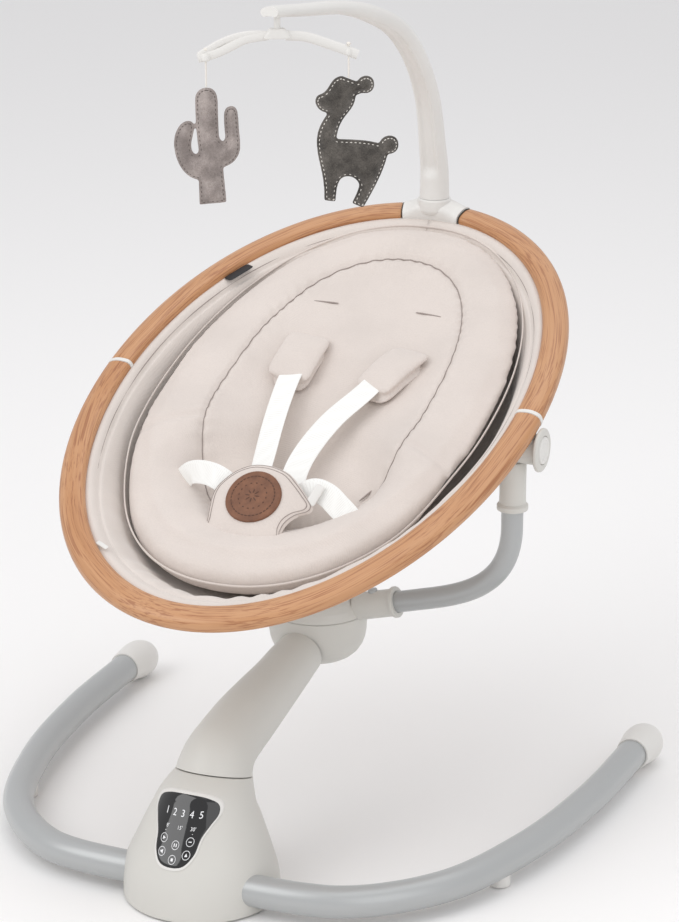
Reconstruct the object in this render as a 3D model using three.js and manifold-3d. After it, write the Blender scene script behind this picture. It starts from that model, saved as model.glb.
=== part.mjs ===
// Electric baby swing: leaning base casing with C-shaped legs, a motor-driven arm and yoke,
// an oval reclining seat with a five-point harness, and a toy mobile on a curved arm.
// Millimetres, +Z up, +X to the swing's left-hand side, +Y towards the head end.
// The origin is on the floor at the middle of the base casing.
import * as THREE from 'three';
import * as BufferGeometryUtils from 'three/addons/utils/BufferGeometryUtils.js';
import Module from 'manifold-3d';

const wasm = await Module();
wasm.setup();

// ---------------------------------------------------------------- driving dimensions (mm, degrees)
const GAP = 0.35; // between pieces that touch
const REACH = 400; // longer than anything that a cutting block has to pass

const BASE = { radius: 77.7, wall: 3, bottom: 0.8, sides: 24 };
const PAD = { radius: 68, thickness: 2.6 };
const PLATE = { radius: 73.5, thickness: 3 };
const PANEL = { halfWidth: 33, bottom: 54, top: 115, rim: 2.2, thickness: 2.4, proud: 0.4, rimProud: 0.9 };
const INLET = { radius: 6, bore: 2.4, height: 30, depth: 16 };

const LEG = { radius: 16, wall: 1.6, height: 24, sides: 8, steps: 12 };
const LEG_ROUTE = [[34, -29.5], [49.8, -27.9], [157.1, -15.9], [234, 51.3], [278.4, 165.7], [300.5, 303], [305.9, 445.8]];
const FOOT = { radius: 11, x: 267, y: 128 };

const SWING = { y: 31, z: 114, tilt: 18 }; // where the swing axis meets the top of the casing
const SHAFT = { radius: 8, bottom: -63, flange: 22, flangeLow: 3.5, flangeHigh: 7.5 };
const BEARING = { radius: 16, height: 8, clearance: 0.2 };
const TOWER = { wall: 3.7, top: -37, plateLow: -16, plateHigh: -8 };
const GEAR = { module: 1.25, pinionTeeth: 12, sectorTeeth: 36, sectorCut: 7, low: -34, high: -28, angle: -45 };
const MOTOR = { radius: 11.5, height: 38, shaft: 2 };

const ARM = { wall: 3, sides: 16, core: 8 };
const HUB = { y: 287, radius: 52, bottom: 140, rim: 196.2, top: 224, wall: 3 };
const YOKE = { radius: 11.25, wall: 1.5, socketX: 67, socketZ: 211, rise: 15, x: 216, y: 286, top: 372, sides: 8 };
const SOCKET = { radius: 14.5, flange: 16.5, inner: -22, outer: 25 };
const SNAP = { radius: 5, proud: 3.2, travel: 3 };
const SLEEVE = { radius: 13.5, flange: 16, bottom: 337, top: 389.5 };
const PIVOT = { z: 404, housing: 15.8, face: 22.5, inner: 213.9, outer: 248.6, pin: 4, button: 14.2, travel: 4 };

const SEAT = { y: 286, z: 431.4, tilt: 20.7, halfWidth: 229.3, halfLength: 347.6 };
const RIM = { wall: 1.8, clampAngle: 9, jointAngle: 89, jointThickness: 3.4 };
const BRACKET = { inner: 211, thickness: 2.3, saddleLow: -8.9, saddleHigh: -6, halfLength: 22, eye: 12 };
const CLAMP = { grow: 1.4, collar: 18.5, collarTop: 568, plug: 12 };
const LINER = { inset: 14.8, depth: 105, steepness: 5, thickness: 2.5, sides: 24 };
const CUSHION = { halfWidth: 184, headLength: 304, footLength: 287, middle: 16, power: 2.15, thickness: 24, sides: 24 };
const CUSHION_TOP = { head: -15, hips: -52, seam: -9, footSeam: -50, edge: -12, headEdge: -3, footEdge: -20, crown: 3,
  footCrown: 20 };
const WEBBING = { width: 25, thickness: 1.8 };
const SHOULDER_PAD = { width: 46, thickness: 15 };
const CROTCH = { thickness: 9, bottomV: -205, bottomW: -23.5, topV: -129, topW: 6, halfWidth: 37, wing: 56 };
const BADGE = { radius: 29, thickness: 2.2 };
const BUCKLE = { width: 52, length: 30, thickness: 11, button: 8, travel: 3 };

const TOY_ARM = { sides: 12, steps: 14, tipY: 175, socketY: 610 };
const MOBILE = { y: 193, hubTop: 828, hubBottom: 818, turn: 27, reach: 77, stringAt: 69, stem: 3.3 };
const STRING = { radius: 0.9, sides: 8 };
const TOY = { thickness: 14 };

// ---------------------------------------------------------------- finishes
const finish = (color, roughness, metalness = 0) => ({ color, roughness, metalness });
const WHITE = finish(0xe4e2de, 0.45);
const GREY_TUBE = finish(0xb2b3b3, 0.35, 0.3);
const OAK = finish(0xc08552, 0.5);
const FABRIC = finish(0xddd5d0, 0.9);
const WEB = finish(0xf2f2ee, 0.8);
const STEEL = finish(0x9a9c9e, 0.35, 0.9);
const GLOSS_BLACK = finish(0x0a0a0b, 0.12);
const RUBBER = finish(0x3b3b3c, 0.85);

// ---------------------------------------------------------------- helpers
const { degToRad } = THREE.MathUtils;
const vec = (x, y, z) => new THREE.Vector3(x, y, z);

const swing = new THREE.Group();
const part = new THREE.Group();
part.add(swing);

function add(name, geometry, look, parent = part) {
  const material = new THREE.MeshStandardMaterial(look);
  const mesh = new THREE.Mesh(geometry, material);
  mesh.name = name;
  parent.add(mesh);
  return mesh;
}

// Vertices merged and triangles of no area dropped.
function weld(geometry) {
  const bare = geometry.index ? geometry.toNonIndexed() : geometry.clone();
  bare.deleteAttribute('normal');
  bare.deleteAttribute('uv');
  const welded = BufferGeometryUtils.mergeVertices(bare, 1e-4);
  const kept = [];
  const index = welded.index.array;
  for (let i = 0; i < index.length; i += 3) {
    const [a, b, c] = [index[i], index[i + 1], index[i + 2]];
    if (a !== b && b !== c && c !== a) kept.push(a, b, c);
  }
  welded.setIndex(kept);
  return welded;
}

function toSolid(geometry) {
  const welded = weld(geometry);
  const triVerts = new Uint32Array(welded.index.array);
  const vertProperties = new Float32Array(welded.attributes.position.array);
  return new wasm.Manifold(new wasm.Mesh({ numProp: 3, vertProperties, triVerts }));
}

function toGeometry(solid) {
  const mesh = solid.getMesh();
  const geometry = new THREE.BufferGeometry();
  geometry.setAttribute('position', new THREE.BufferAttribute(mesh.vertProperties, 3));
  geometry.setIndex(new THREE.BufferAttribute(mesh.triVerts, 1));
  return geometry;
}

const join = (...pieces) => toGeometry(pieces.map(toSolid).reduce((a, b) => a.add(b)));
const cut = (body, ...tools) => toGeometry(tools.map(toSolid).reduce((a, b) => a.subtract(b), toSolid(body)));
const common = (a, b) => toGeometry(toSolid(a).intersect(toSolid(b)));

function flip(geometry) {
  const bare = geometry.index ? geometry : BufferGeometryUtils.mergeVertices(geometry);
  const index = bare.index.array;
  for (let i = 0; i < index.length; i += 3) [index[i], index[i + 1]] = [index[i + 1], index[i]];
  return bare;
}

const mirrored = (geometry) => flip(weld(geometry).scale(-1, 1, 1));

// A closed outline as a shape, optionally with one hole.
function shapeOf(points, hole) {
  const shape = new THREE.Shape(points.map(([x, y]) => new THREE.Vector2(x, y)));
  if (hole) shape.holes.push(new THREE.Path(hole.map(([x, y]) => new THREE.Vector2(x, y))));
  return shape;
}

function ring(radius, sides, height = radius) {
  const points = [];
  for (let i = 0; i < sides; i++) {
    const angle = (2 * Math.PI * i) / sides;
    points.push([radius * Math.cos(angle), height * Math.sin(angle)]);
  }
  return points;
}

// A section carried through stations; each has an origin, an across and an up direction and a scale.
function sweep(section, stations) {
  const steps = stations.length - 1;
  const geometry = new THREE.ExtrudeGeometry(section, { depth: steps, steps, bevelEnabled: false });
  const position = geometry.attributes.position;
  for (let i = 0; i < position.count; i++) {
    const { origin, across, up, width = 1, height = 1 } = stations[Math.round(position.getZ(i))];
    const point = origin.clone();
    point.addScaledVector(across, position.getX(i) * width);
    point.addScaledVector(up, position.getY(i) * height);
    position.setXYZ(i, point.x, point.y, point.z);
  }
  return geometry;
}

// A station in a plane that holds the X direction and leans back by tilt degrees.
function leaning(y, z, tilt, width, height = width, x = 0) {
  const angle = degToRad(tilt);
  const up = vec(0, Math.cos(angle), -Math.sin(angle));
  return { origin: vec(x, y, z), across: vec(1, 0, 0), up, width, height };
}

// Stations along a smooth curve in the YZ plane through knots [y, z, half width, half height].
function bentStations(knots, steps) {
  const route = new THREE.CatmullRomCurve3(knots.map(([y, z]) => vec(0, y, z)));
  const sizes = new THREE.CatmullRomCurve3(knots.map(([, , width, height = width]) => vec(width, height, 0)));
  const stations = [];
  for (let i = 0; i <= steps; i++) {
    const centre = route.getPoint(i / steps);
    const travel = route.getTangent(i / steps);
    const size = sizes.getPoint(i / steps);
    const tilt = THREE.MathUtils.radToDeg(Math.atan2(travel.y, travel.z));
    stations.push(leaning(centre.y, centre.z, tilt, size.x, size.y));
  }
  return stations;
}

// A round tube along a route, hollow when it has a bore.
function tube(route, radius, bore, sides, steps) {
  const shape = shapeOf(ring(radius, sides), bore ? ring(bore, sides) : null);
  return new THREE.ExtrudeGeometry(shape, { extrudePath: route, steps, bevelEnabled: false });
}

// A turned piece about the Z axis from [radius, z] points.
function turned(profile, sides = 16) {
  const points = profile.map(([r, z]) => new THREE.Vector2(r, z));
  return new THREE.LatheGeometry(points, sides).rotateX(Math.PI / 2);
}

function rod(radius, low, high, sides = 16) {
  return turned([[0, low], [radius, low], [radius, high], [0, high]], sides);
}

function collar(outer, inner, low, high, sides = 16) {
  return turned([[inner, low], [outer, low], [outer, high], [inner, high], [inner, low]], sides);
}

function box(lowX, highX, lowY, highY, lowZ, highZ) {
  const geometry = new THREE.BoxGeometry(highX - lowX, highY - lowY, highZ - lowZ);
  return geometry.translate((lowX + highX) / 2, (lowY + highY) / 2, (lowZ + highZ) / 2);
}

// Moves a piece drawn on the Z axis to the swing axis.
function onSwingAxis(geometry) {
  return geometry.rotateX(-degToRad(SWING.tilt)).translate(0, SWING.y, SWING.z);
}

// Turns a piece drawn on the Z axis so that the axis runs along +X.
const alongX = (geometry) => geometry.rotateY(Math.PI / 2);

// ---------------------------------------------------------------- base casing
const CASING = [ // [y, z, tilt, radius]
  [0, 0, 0, BASE.radius],
  [0.4, 20, 8, BASE.radius - 0.2],
  [3, 36, 13, BASE.radius - 3.2],
  [7, 52, 15, BASE.radius - 9.7],
  [11, 70, 17, BASE.radius - 17.2],
  [14.5, 86, 19, BASE.radius - 24.2],
  [16.5, 96.5, 21, BASE.radius - 29.2],
  [23, 106, 20, BASE.radius - 34.2],
  [SWING.y, SWING.z, SWING.tilt, BASE.radius - 39.1],
];

// The casing's filled outer form, grown or shrunk by an offset and optionally run on past both ends.
function casingForm(offset, past = 0) {
  const rings = CASING.map(([y, z, tilt, radius]) => leaning(y, z, tilt, radius + offset));
  if (past) {
    const top = CASING.at(-1);
    const lean = degToRad(top[2]);
    const [y, z] = [top[0] + past * Math.sin(lean), top[1] + past * Math.cos(lean)];
    rings.push(leaning(y, z, top[2], top[3] + offset));
    rings.unshift(leaning(0, -past, 0, BASE.radius + offset));
  }
  return sweep(shapeOf(ring(1, BASE.sides)), rings);
}

function legRoute(side, past = 0) {
  const points = LEG_ROUTE.map(([x, y]) => vec(side * x, y, LEG.height));
  if (past) points[points.length - 1].y += past;
  return new THREE.CatmullRomCurve3(points);
}

// The bell-shaped panel outline seen from the front, in X and Z.
function panelOutline(grow) {
  const middle = (PANEL.bottom + PANEL.top) / 2;
  const halfHeight = (PANEL.top - PANEL.bottom) / 2;
  const half = [[0, -1], [0.38, -0.92], [0.62, -0.6], [0.71, -0.15], [0.87, 0.2], [1, 0.48], [0.94, 0.74], [0.6, 0.93], [0, 1]];
  const points = half.map(([x, z]) => vec(x * (PANEL.halfWidth + grow), middle + z * (halfHeight + grow), 0));
  const otherSide = points.slice(1, -1).reverse().map((point) => vec(-point.x, point.y, 0));
  const curve = new THREE.CatmullRomCurve3([...points, ...otherSide], true);
  return curve.getPoints(24).slice(0, -1).map((point) => [point.x, point.y]);
}

function frontPrism(outline, hole) {
  const length = BASE.radius;
  const prism = new THREE.ExtrudeGeometry(shapeOf(outline, hole), { depth: length, bevelEnabled: false });
  return prism.rotateX(Math.PI / 2).translate(0, -BASE.radius * 0.1, 0);
}

function casingSkin(inner, outer) {
  return cut(casingForm(outer), casingForm(inner, 20));
}

function baseCasing() {
  const shell = cut(casingForm(0), casingForm(-BASE.wall, 20));
  const legHoles = [-1, 1].map((side) => tube(legRoute(side), LEG.radius + GAP, 0, LEG.sides, LEG.steps));
  const window = frontPrism(panelOutline(PANEL.rim + GAP));
  const inletHole = rod(INLET.radius + GAP, 0, REACH).rotateX(-Math.PI / 2).translate(0, 0, INLET.height);
  const floor = box(-REACH, REACH, -REACH, REACH, -REACH, BASE.bottom);
  return cut(shell, ...legHoles, window, inletHole, floor);
}

function panelBezel() {
  return common(casingSkin(-PANEL.thickness, PANEL.rimProud), frontPrism(panelOutline(PANEL.rim), panelOutline(GAP)));
}

function controlPanel() {
  return common(casingSkin(-PANEL.thickness, PANEL.proud), frontPrism(panelOutline(0)));
}

function controlBoard() {
  const [width, length, thickness, lean] = [40, 40, 1.6, 33.5];
  return new THREE.BoxGeometry(width, thickness, length).rotateX(-degToRad(lean)).translate(0, -42, 70);
}

function powerInlet() {
  const face = BASE.radius - 0.6;
  const back = face - INLET.depth;
  const profile = [[0, back], [INLET.radius, back], [INLET.radius, face], [INLET.bore, face], [INLET.bore, face - 9], [0, face - 9]];
  return turned(profile, 16).rotateX(-Math.PI / 2).translate(0, 0, INLET.height);
}

add('base_casing', baseCasing(), WHITE);
add('panel_bezel', panelBezel(), WHITE);
add('control_panel', controlPanel(), GLOSS_BLACK);
add('control_board', controlBoard(), finish(0x1f5a3a, 0.6));
add('power_inlet', powerInlet(), RUBBER);
add('base_pad', rod(PAD.radius, 0, PAD.thickness, 32), RUBBER);
const plateTop = PAD.thickness + GAP + PLATE.thickness;
add('base_plate', rod(PLATE.radius, PAD.thickness + GAP, plateTop, 32), WHITE);

// ---------------------------------------------------------------- legs
function legTube(side) {
  return tube(legRoute(side), LEG.radius, LEG.radius - LEG.wall, LEG.sides, LEG.steps);
}

function legCap() {
  const [endX, endY] = LEG_ROUTE.at(-1);
  const knots = [ // [distance past the tube's end, centre height, radius]
    [-16, LEG.height, LEG.radius + 1.4],
    [0, LEG.height - 1, LEG.radius + 3.6],
    [14, LEG.height - 2.4, LEG.radius + 5.2],
    [27, LEG.height - 3, LEG.radius + 4.6],
    [38, LEG.height - 3, LEG.radius + 0.5],
    [45, LEG.height - 3, LEG.radius - 6],
    [48, LEG.height - 3, 3],
  ];
  const stations = knots.map(([along, height, radius]) => leaning(endY + along, height, 90, radius, radius, endX));
  const solid = sweep(shapeOf(ring(1, 16)), stations);
  const bore = tube(legRoute(1, 2), LEG.radius + GAP, 0, LEG.sides, LEG.steps);
  return cut(solid, bore, box(0, REACH * 2, -REACH, REACH * 3, -REACH, 0));
}

function legFoot() {
  const post = rod(FOOT.radius, 0, LEG.height, 20).translate(FOOT.x, FOOT.y, 0);
  const seat = tube(legRoute(1), LEG.radius + GAP, 0, LEG.sides, LEG.steps);
  const above = box(0, REACH, 0, REACH, LEG.height - LEG.radius * 0.75, REACH);
  return cut(post, seat, above);
}

for (const [name, side] of [['right', 1], ['left', -1]]) {
  add(`leg_tube_${name}`, legTube(side), GREY_TUBE);
  add(`leg_cap_${name}`, side > 0 ? legCap() : mirrored(legCap()), WHITE);
  add(`leg_foot_${name}`, side > 0 ? legFoot() : mirrored(legFoot()), WHITE);
}

// ---------------------------------------------------------------- drive, on the leaning swing axis
const sectorRadius = (GEAR.module * GEAR.sectorTeeth) / 2;
const pinionRadius = (GEAR.module * GEAR.pinionTeeth) / 2;
const gearCentres = sectorRadius + pinionRadius;
const motorX = gearCentres * Math.cos(degToRad(GEAR.angle));
const motorY = gearCentres * Math.sin(degToRad(GEAR.angle));

// One gear tooth as outline points about an angle; thin teeth leave the running clearance.
function tooth(pitchRadius, angle) {
  const [root, tip] = [pitchRadius - 1.45 * GEAR.module, pitchRadius + 0.85 * GEAR.module];
  const [rootHalf, tipHalf] = [0.62 * GEAR.module, 0.24 * GEAR.module];
  const at = (radius, half) => {
    const turn = angle + half / radius;
    return [radius * Math.cos(turn), radius * Math.sin(turn)];
  };
  return [at(root, -rootHalf), at(tip, -tipHalf), at(tip, tipHalf), at(root, rootHalf)];
}

function pinion() {
  const outline = [];
  const first = degToRad(GEAR.angle) + Math.PI + Math.PI / GEAR.pinionTeeth; // a gap faces the sector
  for (let i = 0; i < GEAR.pinionTeeth; i++) {
    outline.push(...tooth(pinionRadius, first + (2 * Math.PI * i) / GEAR.pinionTeeth));
  }
  const wheel = new THREE.ExtrudeGeometry(shapeOf(outline), { depth: GEAR.high - GEAR.low, bevelEnabled: false });
  const spindle = rod(MOTOR.shaft, TOWER.top - 12, GEAR.high - 1, 12);
  return onSwingAxis(join(wheel.translate(0, 0, GEAR.low), spindle).translate(motorX, motorY, 0));
}

function sectorGear() {
  const outline = [];
  const step = (2 * Math.PI) / GEAR.sectorTeeth;
  const half = (GEAR.sectorCut - 1) / 2;
  for (let i = -half; i <= half; i++) outline.push(...tooth(sectorRadius, degToRad(GEAR.angle) + i * step));
  const hub = SHAFT.radius + 5;
  const start = degToRad(GEAR.angle) + (half + 2) * step;
  const turn = 2 * Math.PI - 2 * (half + 2) * step;
  for (let i = 0; i <= 10; i++) {
    const angle = start + (turn * i) / 10;
    outline.push([hub * Math.cos(angle), hub * Math.sin(angle)]);
  }
  const plate = new THREE.ExtrudeGeometry(shapeOf(outline, ring(SHAFT.radius + GAP, 24)), {
    depth: GEAR.high - GEAR.low,
    bevelEnabled: false,
  });
  return onSwingAxis(plate.translate(0, 0, GEAR.low));
}

// Tower, motor flange, three posts and the upper bearing ring in one casting.
function driveFrame() {
  const bore = BEARING.radius + GAP;
  const outer = bore + TOWER.wall;
  const flange = 3;
  const length = REACH / 2;
  const tower = rod(outer, -length, TOWER.top);
  const motorSeat = rod(MOTOR.radius + 3, TOWER.top - flange, TOWER.top).translate(motorX, motorY, 0);
  const bridge = box(0, gearCentres, -outer * 0.7, outer * 0.7, TOWER.top - flange, TOWER.top).rotateZ(degToRad(GEAR.angle));
  const ringPlate = rod(outer + 4, TOWER.plateLow, TOWER.plateHigh);
  const posts = [75, 135, 195].map((angle) =>
    box(bore + 0.2, outer - 0.2, -3, 3, TOWER.top - 1, TOWER.plateLow + 1).rotateZ(degToRad(angle)));
  const upright = onSwingAxis(join(tower, motorSeat, bridge, ringPlate, ...posts));
  const footY = SWING.y - (SWING.z - plateTop) * Math.tan(degToRad(SWING.tilt));
  const foot = rod(outer + 7, plateTop + GAP, plateTop + GAP + 3).translate(0, footY, 0);
  const shaftBore = onSwingAxis(rod(bore, -length * 1.1, TOWER.plateHigh + 1));
  const spindleHole = onSwingAxis(rod(MOTOR.shaft + 1, -60, -20, 12).translate(motorX, motorY, 0));
  const motorSpace = onSwingAxis(rod(MOTOR.radius + GAP, -length, TOWER.top - flange).translate(motorX, motorY, 0));
  const below = box(-REACH, REACH, -REACH, REACH, -REACH, plateTop + GAP);
  return cut(join(upright, foot), shaftBore, spindleHole, motorSpace, below);
}

function motorCan() {
  const top = TOWER.top - 3 - GAP;
  const bore = MOTOR.shaft + 0.4;
  const profile = [
    [0, top - MOTOR.height], [MOTOR.radius - 3, top - MOTOR.height], [MOTOR.radius, top - MOTOR.height + 3],
    [MOTOR.radius, top - 1.5], [MOTOR.radius - 1.5, top], [bore, top], [bore, top - 12], [0, top - 12],
  ];
  return onSwingAxis(turned(profile, 20).translate(motorX, motorY, 0));
}

function swingShaft() {
  const { radius, bottom, flange, flangeLow, flangeHigh } = SHAFT;
  const profile = [[0, bottom], [radius, bottom], [radius, flangeLow], [flange, flangeLow], [flange, flangeHigh], [0, flangeHigh]];
  return onSwingAxis(turned(profile));
}

const bearing = (low) => onSwingAxis(collar(BEARING.radius, SHAFT.radius + BEARING.clearance, low, low + BEARING.height));

add('drive_frame', driveFrame(), STEEL);
add('bearing_lower', bearing(SHAFT.bottom + 2), STEEL);
add('bearing_upper', bearing(TOWER.plateLow), STEEL);
add('swing_motor', motorCan(), STEEL);
add('motor_pinion', pinion(), finish(0xe8e6df, 0.5));
add('swing_shaft', swingShaft(), STEEL);
add('sector_gear', sectorGear(), finish(0xe8e6df, 0.5));

// ---------------------------------------------------------------- swing arm and hub
const swingUp = vec(0, Math.sin(degToRad(SWING.tilt)), Math.cos(degToRad(SWING.tilt)));
const armFoot = vec(0, SWING.y, SWING.z).addScaledVector(swingUp, 0.8);

const ARM_STATIONS = [ // [y, z, tilt, radius]
  [armFoot.y, armFoot.z, SWING.tilt, 38.4],
  [36, 121, 30, 37],
  [47, 129, 48, 35.2],
  [66, 134.5, 64, 33.4],
  [103, 141.5, 77, 32.2],
  [143, 147.5, 81, 30],
  [185, 153.5, 80, 27.5],
  [215, 159, 78, 26.2],
  [240, 162.5, 79, 24.5],
  [262, 166, 79, 20],
  [HUB.y, 170, 79, 14],
];

function armForm(inset) {
  return sweep(shapeOf(ring(1, ARM.sides)), ARM_STATIONS.map(([y, z, tilt, radius]) => leaning(y, z, tilt, radius - inset)));
}

const BOWL = [[20, 141.5], [38, 149], [48, 161], [51.5, 175]];

function bowlForm(grow, rim) {
  const side = BOWL.map(([radius, z]) => [radius + grow, z - grow]);
  const wall = HUB.radius + grow;
  const profile = [[0, HUB.bottom - grow], ...side, [wall, 185], [wall, rim], [0, rim]];
  return turned(profile, 20).translate(0, HUB.y, 0);
}

function armCoreRoute() {
  const start = vec(0, SWING.y, SWING.z).addScaledVector(swingUp, SHAFT.flangeHigh + GAP);
  return new THREE.CatmullRomCurve3([
    start, start.clone().addScaledVector(swingUp, 6), vec(0, 47, 138), vec(0, 70, 141), vec(0, 143, 148),
    vec(0, 215, 159), vec(0, 262, 167), vec(0, 292, 172),
  ]);
}

function armShell() {
  const hollow = cut(armForm(0), armForm(ARM.wall));
  const mouthLow = onSwingAxis(rod(ARM_STATIONS[0][3] - ARM.wall, -10, 3));
  return cut(hollow, mouthLow, bowlForm(GAP, HUB.rim + REACH / 10));
}

function socketFrame(geometry) {
  return alongX(geometry).rotateY(-degToRad(YOKE.rise)).translate(YOKE.socketX, YOKE.y, YOKE.socketZ);
}

function socketForm(grow) {
  const { radius, flange, inner, outer } = SOCKET;
  const profile = [
    [0, inner - grow], [radius + grow, inner - grow], [radius + grow, outer - 5], [flange + grow, outer - 4],
    [flange + grow, outer - 1], [flange - 1 + grow, outer + grow], [0, outer + grow],
  ];
  return socketFrame(turned(profile, 16));
}

const snapHole = () => socketFrame(rod(SNAP.radius + 0.4, 0, REACH / 10, 16).rotateY(-Math.PI / 2));

function hubBowl() {
  const shell = cut(bowlForm(0, HUB.rim), bowlForm(-HUB.wall, HUB.rim + 1));
  const doorway = tube(armCoreRoute(), ARM.core + 3, 0, 12, 20);
  const notch = socketForm(GAP + 0.1);
  return cut(shell, doorway, notch, mirrored(socketForm(GAP + 0.1)));
}

function hubCap() {
  const low = HUB.rim + GAP;
  const dome = (drop, radius) => [
    [0, HUB.top - drop], [20 - drop, HUB.top - 1 - drop], [36 - drop, HUB.top - 6 - drop],
    [47 - drop, HUB.top - 14 - drop], [radius, low + 1.5 - Math.min(drop, 1)],
  ];
  const skin = turned([...dome(0, HUB.radius), [HUB.radius, low], [HUB.radius - HUB.wall, low],
    ...dome(HUB.wall, HUB.radius - HUB.wall).toReversed()].toReversed(), 20).translate(0, HUB.y, 0);
  const bore = socketFrame(rod(YOKE.radius + GAP, SOCKET.inner - 9, SOCKET.outer + 9, 16));
  const shell = join(skin, socketForm(0), mirrored(socketForm(0)));
  return cut(shell, bore, mirrored(bore), snapHole(), mirrored(snapHole()));
}

add('swing_arm_shell', armShell(), WHITE);
add('arm_core', tube(armCoreRoute(), ARM.core, 0, 12, 18), STEEL);
add('hub_bowl', hubBowl(), WHITE);
add('hub_cap', hubCap(), WHITE);

// ---------------------------------------------------------------- yoke
function yokeRoute() {
  const rise = vec(Math.cos(degToRad(YOKE.rise)), 0, Math.sin(degToRad(YOKE.rise)));
  const socket = vec(YOKE.socketX, YOKE.y, YOKE.socketZ);
  const start = socket.clone().addScaledVector(rise, SOCKET.inner + 4);
  const bend = socket.clone().addScaledVector(rise, 60);
  const bendEnd = vec(YOKE.x, YOKE.y, SLEEVE.bottom - 19);
  const route = new THREE.CurvePath();
  route.add(new THREE.LineCurve3(start, bend));
  route.add(new THREE.CubicBezierCurve3(bend, bend.clone().addScaledVector(rise, 45), vec(YOKE.x, YOKE.y, bendEnd.z - 63), bendEnd));
  route.add(new THREE.LineCurve3(bendEnd, vec(YOKE.x, YOKE.y, YOKE.top)));
  return route;
}

const yokeTube = () => cut(tube(yokeRoute(), YOKE.radius, YOKE.radius - YOKE.wall, YOKE.sides, 10), snapHole());

// Sleeve over the tube's end, the round pivot housing and its outer face, open for the button.
function pivotHousing() {
  const { radius, flange, bottom, top } = SLEEVE;
  const sleeve = turned([
    [0, bottom], [flange - 1, bottom], [flange, bottom + 1], [flange, bottom + 5], [radius, bottom + 7],
    [radius, top], [0, top],
  ]).translate(YOKE.x, YOKE.y, 0);
  const { housing, face, inner, outer } = PIVOT;
  const faceLow = outer - 5.4;
  const body = alongX(turned([
    [0, inner], [housing, inner], [housing, faceLow - 0.4], [face - 1.5, faceLow], [face, faceLow + 1.8],
    [face - 0.2, outer - 1.6], [face - 2, outer - 0.4], [face - 6, outer], [0, outer],
  ], 20)).translate(0, YOKE.y, PIVOT.z);
  const bore = rod(YOKE.radius + GAP, bottom - 5, YOKE.top + 3).translate(YOKE.x, YOKE.y, 0);
  const pinBore = alongX(rod(PIVOT.pin + GAP, inner - 5, inner + 22, 16)).translate(0, YOKE.y, PIVOT.z);
  const recess = alongX(rod(PIVOT.button + GAP, outer - 9.2, outer + 5, 20)).translate(0, YOKE.y, PIVOT.z);
  return cut(join(sleeve, body), bore, pinBore, recess);
}

function pivotPin() {
  const start = BRACKET.inner - GAP;
  const profile = [
    [0, start - 2.4], [6, start - 2.4], [6, start], [PIVOT.pin, start], [PIVOT.pin, PIVOT.inner + 21.5], [0, PIVOT.inner + 21.5],
  ];
  return alongX(turned(profile, 16)).translate(0, YOKE.y, PIVOT.z);
}

function reclineButton() {
  const { button, outer, travel } = PIVOT;
  const low = outer - 9 + travel + 0.4;
  const profile = [[0, low], [button, low], [button, outer - 0.4], [button - 1.2, outer + 0.8], [button - 5, outer + 1.2], [0, outer + 0.6]];
  return alongX(turned(profile, 20)).translate(0, YOKE.y, PIVOT.z);
}

function snapButton() {
  const top = SOCKET.radius + SNAP.proud;
  const low = YOKE.radius - YOKE.wall - 4;
  const profile = [[0, low], [SNAP.radius, low], [SNAP.radius, top - 2], [SNAP.radius - 1.6, top - 0.5], [0, top]];
  return socketFrame(turned(profile, 16).rotateY(-Math.PI / 2));
}

const sideGeometry = (side, geometry) => (side > 0 ? geometry : mirrored(geometry));
const SIDES = [['right', 1], ['left', -1]];

for (const [name, side] of SIDES) {
  add(`yoke_tube_${name}`, sideGeometry(side, yokeTube()), GREY_TUBE);
  add(`pivot_housing_${name}`, sideGeometry(side, pivotHousing()), WHITE);
  add(`pivot_pin_${name}`, sideGeometry(side, pivotPin()), STEEL);
  add(`recline_button_${name}`, sideGeometry(side, reclineButton()), WHITE);
  add(`snap_button_${name}`, sideGeometry(side, snapButton()), WHITE);
}

// ---------------------------------------------------------------- seat rim (drawn in the seat's own tilted frame)
const seat = new THREE.Group();
seat.position.set(0, SEAT.y, SEAT.z);
seat.rotation.x = degToRad(SEAT.tilt);
part.add(seat);

// Where the recline axis lies in the seat's frame.
const pivotV = -(SEAT.z - PIVOT.z) * Math.sin(degToRad(SEAT.tilt));
const pivotW = -(SEAT.z - PIVOT.z) * Math.cos(degToRad(SEAT.tilt));

// Centreline of the rim: a slightly squared oval that dips a little at head and foot.
function rimPoint(angle) {
  const t = degToRad(angle);
  const x = SEAT.halfWidth * Math.sin(t) * (1 + 0.014 * Math.cos(t));
  const v = SEAT.halfLength * Math.cos(t) * (1 + 0.016 * Math.sin(t) ** 2);
  return vec(x, v, -2.9 * Math.cos(2 * t));
}

function rimStations(from, to, steps) {
  const stations = [];
  for (let i = 0; i <= steps; i++) {
    const angle = from + ((to - from) * i) / steps;
    const travel = rimPoint(angle + 0.5).sub(rimPoint(angle - 0.5)).normalize();
    const across = vec(0, 0, 1).cross(travel).normalize();
    const up = travel.clone().cross(across);
    stations.push({ origin: rimPoint(angle), across, up });
  }
  return stations;
}

// Rounded band, lower on its outer side; positive grow makes it larger.
function rimSection(grow) {
  const outline = [
    [-13.6, 0], [-11.5, -6], [3, -8.2], [9, -10.8], [13.4, -7],
    [12.4, 1.5], [5, 5.8], [-4, 6.4], [-11, 4.6],
  ];
  const middle = -2.2;
  return outline.map(([x, y]) => [x * (1 + grow / 13.6), middle + (y - middle) * (1 + grow / 8.6)]);
}

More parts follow.
